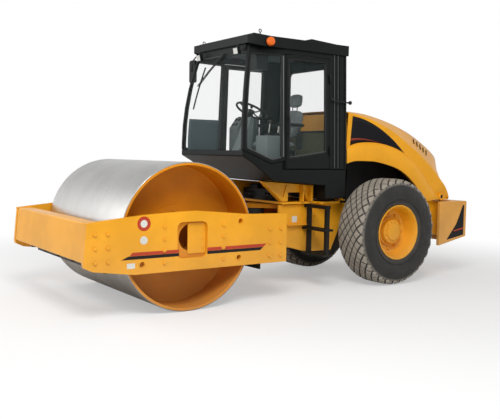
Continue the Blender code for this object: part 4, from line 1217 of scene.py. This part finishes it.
piece("roof_lip", roof_lip(), BLACK, "rear_frame", bevel=0.004)
for name, y in (("left", 0.455), ("right", -0.430)):
    case, lens = work_lamp(y)
    piece(f"work_lamp_{name}", case, BLACK, "rear_frame", bevel=0.004)
    piece(f"work_lamp_lens_{name}", lens, LENS, "rear_frame", bevel=0.003)
for name, side in SIDES:
    piece(f"lifting_eye_{name}", eye_bolt(side), IRON, "rear_frame")
    base = turned([(0, 0), (0.056, 0), (0.056, 0.018), (0, 0.018)], (0, 0, 0), "Y", 32)
    lens = turned([(0, 0.018), (0.052, 0.018), (0.053, 0.048), (0.046, 0.062), (0.030, 0.068),
                   (0, 0.070)], (0, 0, 0), "Y", 32)
    spot = (0.500, 0.7285, 3.078)
    piece(f"turn_lamp_base_{name}", sided(moved(base, spot), side), BLACK, "rear_frame")
    piece(f"turn_lamp_{name}", sided(moved(lens, spot), side), AMBER, "rear_frame")
piece("wiper", wiper(0.060, (-0.395, 2.600), ((-0.310, 2.840), (-0.455, 2.300))), HOSE, "rear_frame")
case, shine = mirror(-1.0)
piece("mirror_right", case, BLACK, "rear_frame", bevel=0.004)
piece("mirror_glass_right", shine, CHROME, "rear_frame")
print("roof dressed")

# %% [markdown]
# ## Padded seat
# A pillow is a string of superellipses that shrink at both ends. It is remeshed evenly, its seams and
# its underside are held, and cloth under pressure swells between them. Travel is capped, so that the
# result keeps the size it was cut for.

# %% Pillows
def pillow(path, half, thick, rows=30, cols=44):
    """Closed crowned form: y = half cos^0.45, n = thick sin^0.75, drawn in towards both ends."""
    path = smooth_path(path, rows)
    end = (1 - 0.99 * np.abs(np.linspace(-1, 1, rows)) ** 5)[:, None] ** 0.42
    along = np.gradient(path, axis=0)
    along /= np.linalg.norm(along, axis=1)[:, None]
    normal = np.cross(along, (0.0, 1.0, 0.0))
    angle = 2 * np.pi * np.arange(cols) / cols
    power = lambda wave, k: np.sign(wave) * np.abs(wave) ** k
    width, depth = power(np.cos(angle), 0.45) * half, power(np.sin(angle), 0.75) * thick
    points = path[:, None] + (normal[:, None] * depth[None, :, None] * end[:, None])
    points[..., 1] += width[None] * end
    return grid(points, wrap_cols=True, caps=True)


def swollen(name, shape, voxel, seams, held, travel=0.010):
    """Even out a pillow, press its seams in, blow it up as cloth and keep the result."""
    made = piece(name, shape, CLOTH, "rear_frame", "seat_cloth", angle=180)
    even_mesh = made.modifiers.new("even", "REMESH")
    even_mesh.mode, even_mesh.voxel_size = "VOXEL", voxel
    keep_result(made)
    points = vertices(made)
    weight = np.zeros(len(points))
    for gap in seams:
        near = np.exp(-(gap(points) / 0.011) ** 2)
        weight = np.maximum(weight, near)
    middle_of = points.mean(0)
    inward = (middle_of - points) / np.linalg.norm(middle_of - points, axis=1)[:, None]
    points = points + inward * (weight * 0.012)[:, None]
    made.data.vertices.foreach_set("co", points.ravel())
    group = made.vertex_groups.new(name="held")
    fixed = (weight > 0.6) | held(points)
    group.add(np.flatnonzero(fixed).tolist(), 1.0, "REPLACE")
    cloth = made.modifiers.new("cloth", "CLOTH")
    rules = cloth.settings
    rules.use_pressure, rules.uniform_pressure_force = True, 4.0
    rules.effector_weights.gravity = 0.0
    rules.vertex_group_mass = "held"
    rules.quality, rules.bending_stiffness = 5, 0.4
    rules.tension_stiffness = rules.compression_stiffness = 12.0
    cloth.point_cache.frame_end = 20
    for step in range(1, 21):
        bpy.context.scene.frame_set(step)
    keep_result(made)
    bpy.context.scene.frame_set(1)
    shift = vertices(made) - points
    far = np.linalg.norm(shift, axis=1)
    shift *= np.minimum(1, travel / np.maximum(far, 1e-9))[:, None]
    made.data.vertices.foreach_set("co", (points + shift).ravel())
    smooth = made.modifiers.new("smooth", "SUBSURF")
    smooth.levels = smooth.render_levels = 1
    made.data.shade_smooth()
    return made


def vertices(made):
    """The vertex places of an object as an array."""
    points = np.empty(len(made.data.vertices) * 3)
    made.data.vertices.foreach_get("co", points)
    return points.reshape(-1, 3)


def keep_result(made):
    """Put what the modifiers give into the mesh, and drop them."""
    bpy.context.view_layer.update()
    shown = made.evaluated_get(bpy.context.evaluated_depsgraph_get())
    mesh = bpy.data.meshes.new_from_object(shown)
    made.modifiers.clear()
    made.data = mesh
    mesh.shade_smooth()


# %% Cushion, back and headrest
cushion = swollen(
    "seat_cushion_padded", pillow([(-0.388, 0, 1.856), (-0.100, 0, 1.852), (0.108, 0, 1.856)],
                                  0.240, 0.050), 0.011,
    [lambda p: np.where(p[:, 2] > 1.85, np.abs(p[:, 1]) - 0.155, 1.0),
     lambda p: np.where((p[:, 2] > 1.85) & (np.abs(p[:, 1]) < 0.155), p[:, 0] + 0.060, 1.0),
     lambda p: np.where((p[:, 2] > 1.85) & (np.abs(p[:, 1]) < 0.155), p[:, 0] + 0.220, 1.0)],
    lambda p: p[:, 2] < 1.818)
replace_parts(cushion, "seat_cushion")
BACK_LINE = [(-0.370, 0, 1.945), (-0.418, 0, 2.130), (-0.470, 0, 2.330)]
backrest = swollen(
    "seat_back_padded", pillow(BACK_LINE, 0.222, 0.046), 0.011,
    [lambda p: np.where(p[:, 0] > -0.37 - (p[:, 2] - 1.945) * 0.26, np.abs(p[:, 1]) - 0.140, 1.0),
     lambda p: np.where(np.abs(p[:, 1]) < 0.14, p[:, 2] - 2.075, 1.0),
     lambda p: np.where(np.abs(p[:, 1]) < 0.14, p[:, 2] - 2.205, 1.0)],
    lambda p: p[:, 0] < -0.405 - (p[:, 2] - 1.945) * 0.26)
swollen(
    "headrest", pillow([(-0.484, 0, 2.368), (-0.498, 0, 2.460), (-0.508, 0, 2.550)], 0.128, 0.036),
    0.009, [lambda p: np.abs(p[:, 1]) - 0.085], lambda p: p[:, 0] < -0.525, 0.008)
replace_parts(backrest, "seat_back")


def seat_hardware():
    """The headrest's two posts and the hinge plates beside the backrest."""
    posts = [tube([(-0.478, y, 2.300), (-0.496, y, 2.420)], 0.006, 10, (0, 1, 0))
             for y in (-0.05, 0.05)]
    plates = [prism(rounded((-0.420, -0.330), (1.800, 2.020), 0.02), "Y", y - 0.004, y + 0.004)
              for y in (-0.250, 0.250)]
    return joined(*posts, *plates)


def armrest(y):
    """A foam bar with a round front end."""
    shape = [(-0.430, y, 2.115), (-0.300, y, 2.120), (-0.120, y, 2.118), (-0.080, y, 2.112)]
    return pillow(shape, 0.026, 0.024, 16, 20)


piece("seat_hardware", seat_hardware(), IRON, "rear_frame", bevel=0.0015)
for name, y in (("left", 0.285), ("right", -0.285)):
    piece(f"armrest_{name}", armrest(y), HOSE, "rear_frame")
slides = joined(*[block((-0.330, 0.070), (y - 0.018, y + 0.018), (1.500, 1.512))
                  for y in (-0.235, 0.235)])
ribs = joined(*[tube([(x, y, 1.530), (x, y, 1.780)], 0.011, 8, (0, 1, 0))
                for x in np.arange(-0.320, 0.081, 0.050) for y in (-0.222, 0.222)])
piece("seat_slides", slides, IRON, "rear_frame", bevel=0.002)
piece("seat_bellows", ribs, HOSE, "rear_frame")

# %% [markdown]
# ## Controls
# The steering wheel's rim is a circle swept round the tilted column, with a spinner knob. Levers stand
# in rubber boots on the consoles, and two pedals stand on the sloping floor.

# %% Steering wheel, levers, pedals and linings
COLUMN = np.array([0.235, 0.0, 2.290])
TILT = about("Y", -28)


def steering():
    """Rim, four spokes, hub and spinner knob, turned onto the column."""
    circle = arc((0.214, 0.0), 0.0145, 0, 330, 11)
    rim_ring = turned(circle, (0, 0, 0), "Z", 72)
    spokes = [moved(tube(smooth_path([(0.030, 0, -0.006), (0.110, 0, -0.020), (0.208, 0, 0.0)], 10),
                         0.0095, 10), turn=about("Z", a)) for a in (0, 90, 180, 270)]
    hub = turned([(0, -0.050), (0.030, -0.050), (0.042, -0.022), (0.046, -0.004), (0.042, 0.008),
                  (0.024, 0.013), (0, 0.014)], (0, 0, 0), "Z", 32)
    x, y = 0.214 * np.cos(np.radians(200)), 0.214 * np.sin(np.radians(200))
    knob = turned([(0, 0.010), (0.008, 0.010), (0.008, 0.024), (0.020, 0.030), (0.024, 0.044),
                   (0.019, 0.058), (0, 0.062)], (x, y, 0), "Z", 24)
    wheel = moved(joined(rim_ring, *spokes, hub), COLUMN, TILT)
    return wheel, moved(knob, COLUMN, TILT)


def lever(x, y, z, height, lean_back=0.05):
    """A rubber boot in rings, a bright stem and a round knob."""
    boot = turned([(0, 0), (0.040, 0), (0.034, 0.010), (0.037, 0.014), (0.026, 0.024), (0.029, 0.028),
                   (0.014, 0.042), (0, 0.044)], (x, y, z), "Z", 24)
    stem = tube([(x, y, z + 0.030), (x - lean_back, y, z + height)], 0.006, 10, (0, 1, 0))
    knob = turned([(0, -0.020), (0.012, -0.018), (0.021, 0.0), (0.020, 0.018), (0.010, 0.030),
                   (0, 0.031)], (x - lean_back, y, z + height), "Z", 20)
    return joined(boot, knob), stem


def pedal(y):
    """A ribbed plate on an arm, tilted towards the driver."""
    plate = block((-0.006, 0.006), (-0.042, 0.042), (-0.065, 0.065))
    grip = [block((-0.010, -0.006), (-0.036, 0.036), (z - 0.004, z + 0.004))
            for z in np.linspace(-0.05, 0.05, 6)]
    arm = tube([(0.000, 0, -0.010), (0.060, 0, -0.052)], 0.010, 10, (0, 1, 0))
    return moved(joined(plate, *grip, arm), (0.468, y, 1.590), about("Y", 32))


wheel, knob = steering()
wheel = piece("steering_wheel_finished", wheel, HOSE, "rear_frame")
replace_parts(wheel, "steering_wheel")
piece("spinner_knob", knob, GREY, "rear_frame", "grey_plastic")
dark, bright = zip(lever(-0.060, -0.500, 2.230, 0.150), lever(0.300, 0.480, 1.960, 0.170, 0.02),
                   lever(0.160, 0.480, 1.960, 0.140, 0.02))
piece("lever_boots", joined(*dark), HOSE, "rear_frame")
piece("lever_stems", joined(*bright), ZINC, "rear_frame", "chromed_rod")
piece("pedals", joined(*[pedal(y) for y in (-0.190, 0.190)]), HOSE, "rear_frame", bevel=0.001)
SLOPE = about("Y", 53.7)
dials = [moved(turned([(0.0, 0), (0.024, 0), (0.024, 0.008), (0.019, 0.010), (0.017, 0.004), (0, 0.004)],
                      (0, 0, 0), "Z", 28), (0.145 + dx, y, 2.155 - dx * 1.364), SLOPE)
         for dx in (-0.028, 0.022) for y in (-0.540, -0.460)]
piece("console_dials", joined(*dials), HOSE, "rear_frame")
keys = [block((x - 0.012, x + 0.012), (y - 0.009, y + 0.009), (2.2305, 2.240))
        for x in (-0.150, -0.120, 0.030, 0.060) for y in (-0.560, -0.530, -0.440)]
piece("console_keys", joined(*keys), HOSE, "rear_frame", bevel=0.002)
piece("column_collar", moved(turned([(0.0, -0.080), (0.050, -0.080), (0.044, -0.050), (0.0, -0.050)],
                                    (0, 0, 0), "Z", 28), COLUMN, TILT), HOSE, "rear_frame")
OLIVE = paint("olive_lining", (0.105, 0.105, 0.062), 0.6, dust=0.05, peel=0.0009, coat=0.0, shine=0.2)
LINING = paint("blue_grey_lining", (0.060, 0.085, 0.092), 0.55, dust=0.05, peel=0.0009, coat=0.0,
               shine=0.2)
piece("back_lining", prism(rounded((-0.640, 0.640), (1.580, 2.030), 0.03), "X", -0.7355, -0.722),
      OLIVE, "rear_frame", bevel=0.004)
piece("roof_lining", block((-0.700, 0.300), (-0.560, 0.560), (3.034, 3.044)), LINING, "rear_frame",
      bevel=0.003)
mat_ribs = [block((-0.700, 0.290), (y - 0.003, y + 0.003), (1.4665, 1.4695))
            for y in np.arange(0.28, 0.66, 0.03)]
piece("floor_mat", joined(block((-0.710, 0.300), (0.262, 0.670), (1.4605, 1.4665)), *mat_ribs), HOSE,
      "rear_frame")


def wall_patch(outline_x, outline_z, out, finish, name, side, body="rear_frame"):
    """A thin lining that follows the inside of a side wall."""
    x, z = np.meshgrid(np.linspace(*outline_x, 10), np.linspace(*outline_z, 10))
    made = piece(name, sided(grid(on_wall(x, z, out)), side), finish, body)
    made.modifiers.new("film", "SOLIDIFY").thickness = 0.005
    return made


wall_patch((0.300, 0.800), (1.700, 2.185), -0.052, LINING, "lining_right", -1.0)
for name, side in SIDES:
    for label, ends, body in (("front", ((0.300, 1.682), (0.430, 1.655), (0.800, 1.790)),
                               "rear_frame"),
                              ("door", ((0.160, 1.684), (-0.410, 1.762)), f"door_{name}")):
        flat = dense(ends, closed=False)
        line_up = on_wall(flat[:, 0], flat[:, 1] + 0.012, 0.001)
        piece(f"{label}_pane_edge_{name}", sided(tube(line_up, 0.0045, 8), side), TRIM, body)
print("cab inside dressed")

# %% [markdown]
# ## Under the cab and beside the ladder
# Gussets and ribs stand between the deck and the cab. Between them a tank with a valve block stands
# on the deck, six short pipes run down from it, and a ledge runs to the ladder.

# %% Gussets, tank, valve block, pipes, ledge and ladder treads
def under_cab(name, side):
    """Ribs, gusset, ledge, brace, a blank sticker, the ladder's teeth and the frame's bolts."""
    gusset = prism([(0.410, 1.380), (0.345, 1.375), (0.020, 1.128), (0.095, 1.128)], "Y", 0.522, 0.532)
    web = prism([(0.020, 1.128), (0.095, 1.128), (0.100, 1.140), (0.040, 1.335), (0.010, 1.335)],
                "Y", 0.441, 0.538)
    ribs = [prism([(x - 0.006, 1.1225), (x + 0.006, 1.1225), (x + 0.006, 1.325 + 0.02 * (x > -0.2)),
                   (x - 0.006, 1.325 + 0.02 * (x > -0.2))], "Y", 0.5205, 0.600)
            for x in (-0.190, -0.330)]
    ledge = joined(block((-0.400, 0.010), (0.5005, 0.560), (0.815, 0.828)),
                   prism([(-0.400, 0.8145), (-0.380, 0.8145), (-0.380, 0.700), (-0.400, 0.700)],
                         "Y", 0.5005, 0.512))
    brace = prism([(-0.330, 0.828), (-0.295, 0.828), (-0.180, 1.085), (-0.215, 1.085)], "Y",
                  0.5005, 0.509)
    made = joined(web, *ribs, ledge, brace, gusset)
    piece(f"cab_gussets_{name}", sided(made, side), YELLOW, "rear_frame", bevel=0.002)
    label = prism(rounded((-0.165, -0.085), (0.850, 0.930), 0.006), "Y", 0.5002, 0.5016)
    piece(f"frame_sticker_{name}", sided(label, side), WHITE, "rear_frame")
    teeth = [block((-0.395 + 0.024 * k, -0.389 + 0.024 * k), (0.560, 0.945), (z, z + 0.005))
             for z in (0.465, 0.790) for k in range(1, 6)]
    piece(f"ladder_teeth_{name}", sided(joined(*teeth), side), BLACK, "rear_frame")
    heads = repeated(bolt(0.013, 0.011), [(x, 0.5002, z) for x, z in
                                          ((-0.470, 1.020), (-0.470, 0.930), (-0.470, 0.700))])
    piece(f"frame_bolts_{name}", sided(heads, side), YELLOW, "rear_frame", bevel=0.001)


def valve_block():
    """A tank with two filler caps on the deck, and a valve block on top of it."""
    tank = prism(rounded((-0.100, 0.085), (-0.400, 0.400), 0.025), "Z", 1.1205, 1.270)
    block_body = block((0.0, 0.080), (-0.240, -0.060), (1.2705, 1.320))
    caps = [turned([(0, 1.270), (0.032, 1.270), (0.032, 1.292), (0.022, 1.300), (0, 1.300)],
                   (0.030, y, 0), "Z", 24) for y in (0.170, 0.300)]
    return joined(tank, block_body, *caps)


def pipes():
    """Six bent pipes from the tank's front face down and back under it."""
    runs = []
    for k, y in enumerate((-0.300, -0.235, -0.170, 0.180, 0.245, 0.310)):
        runs.append(tube(smooth_path([(0.083, y, 1.220 - 0.012 * (k % 2)), (0.118, y, 1.215),
                                      (0.128, y, 1.180), (0.100, y, 1.148), (0.060, y, 1.140),
                                      (-0.010, y, 1.136)], 22), 0.011, 10, (0, 1, 0)))
    return joined(*runs)


for name, side in SIDES:
    under_cab(name, side)
piece("valve_block", valve_block(), BLACK, "rear_frame", bevel=0.004)
piece("deck_pipes", pipes(), HOSE, "rear_frame")
print("under the cab dressed")
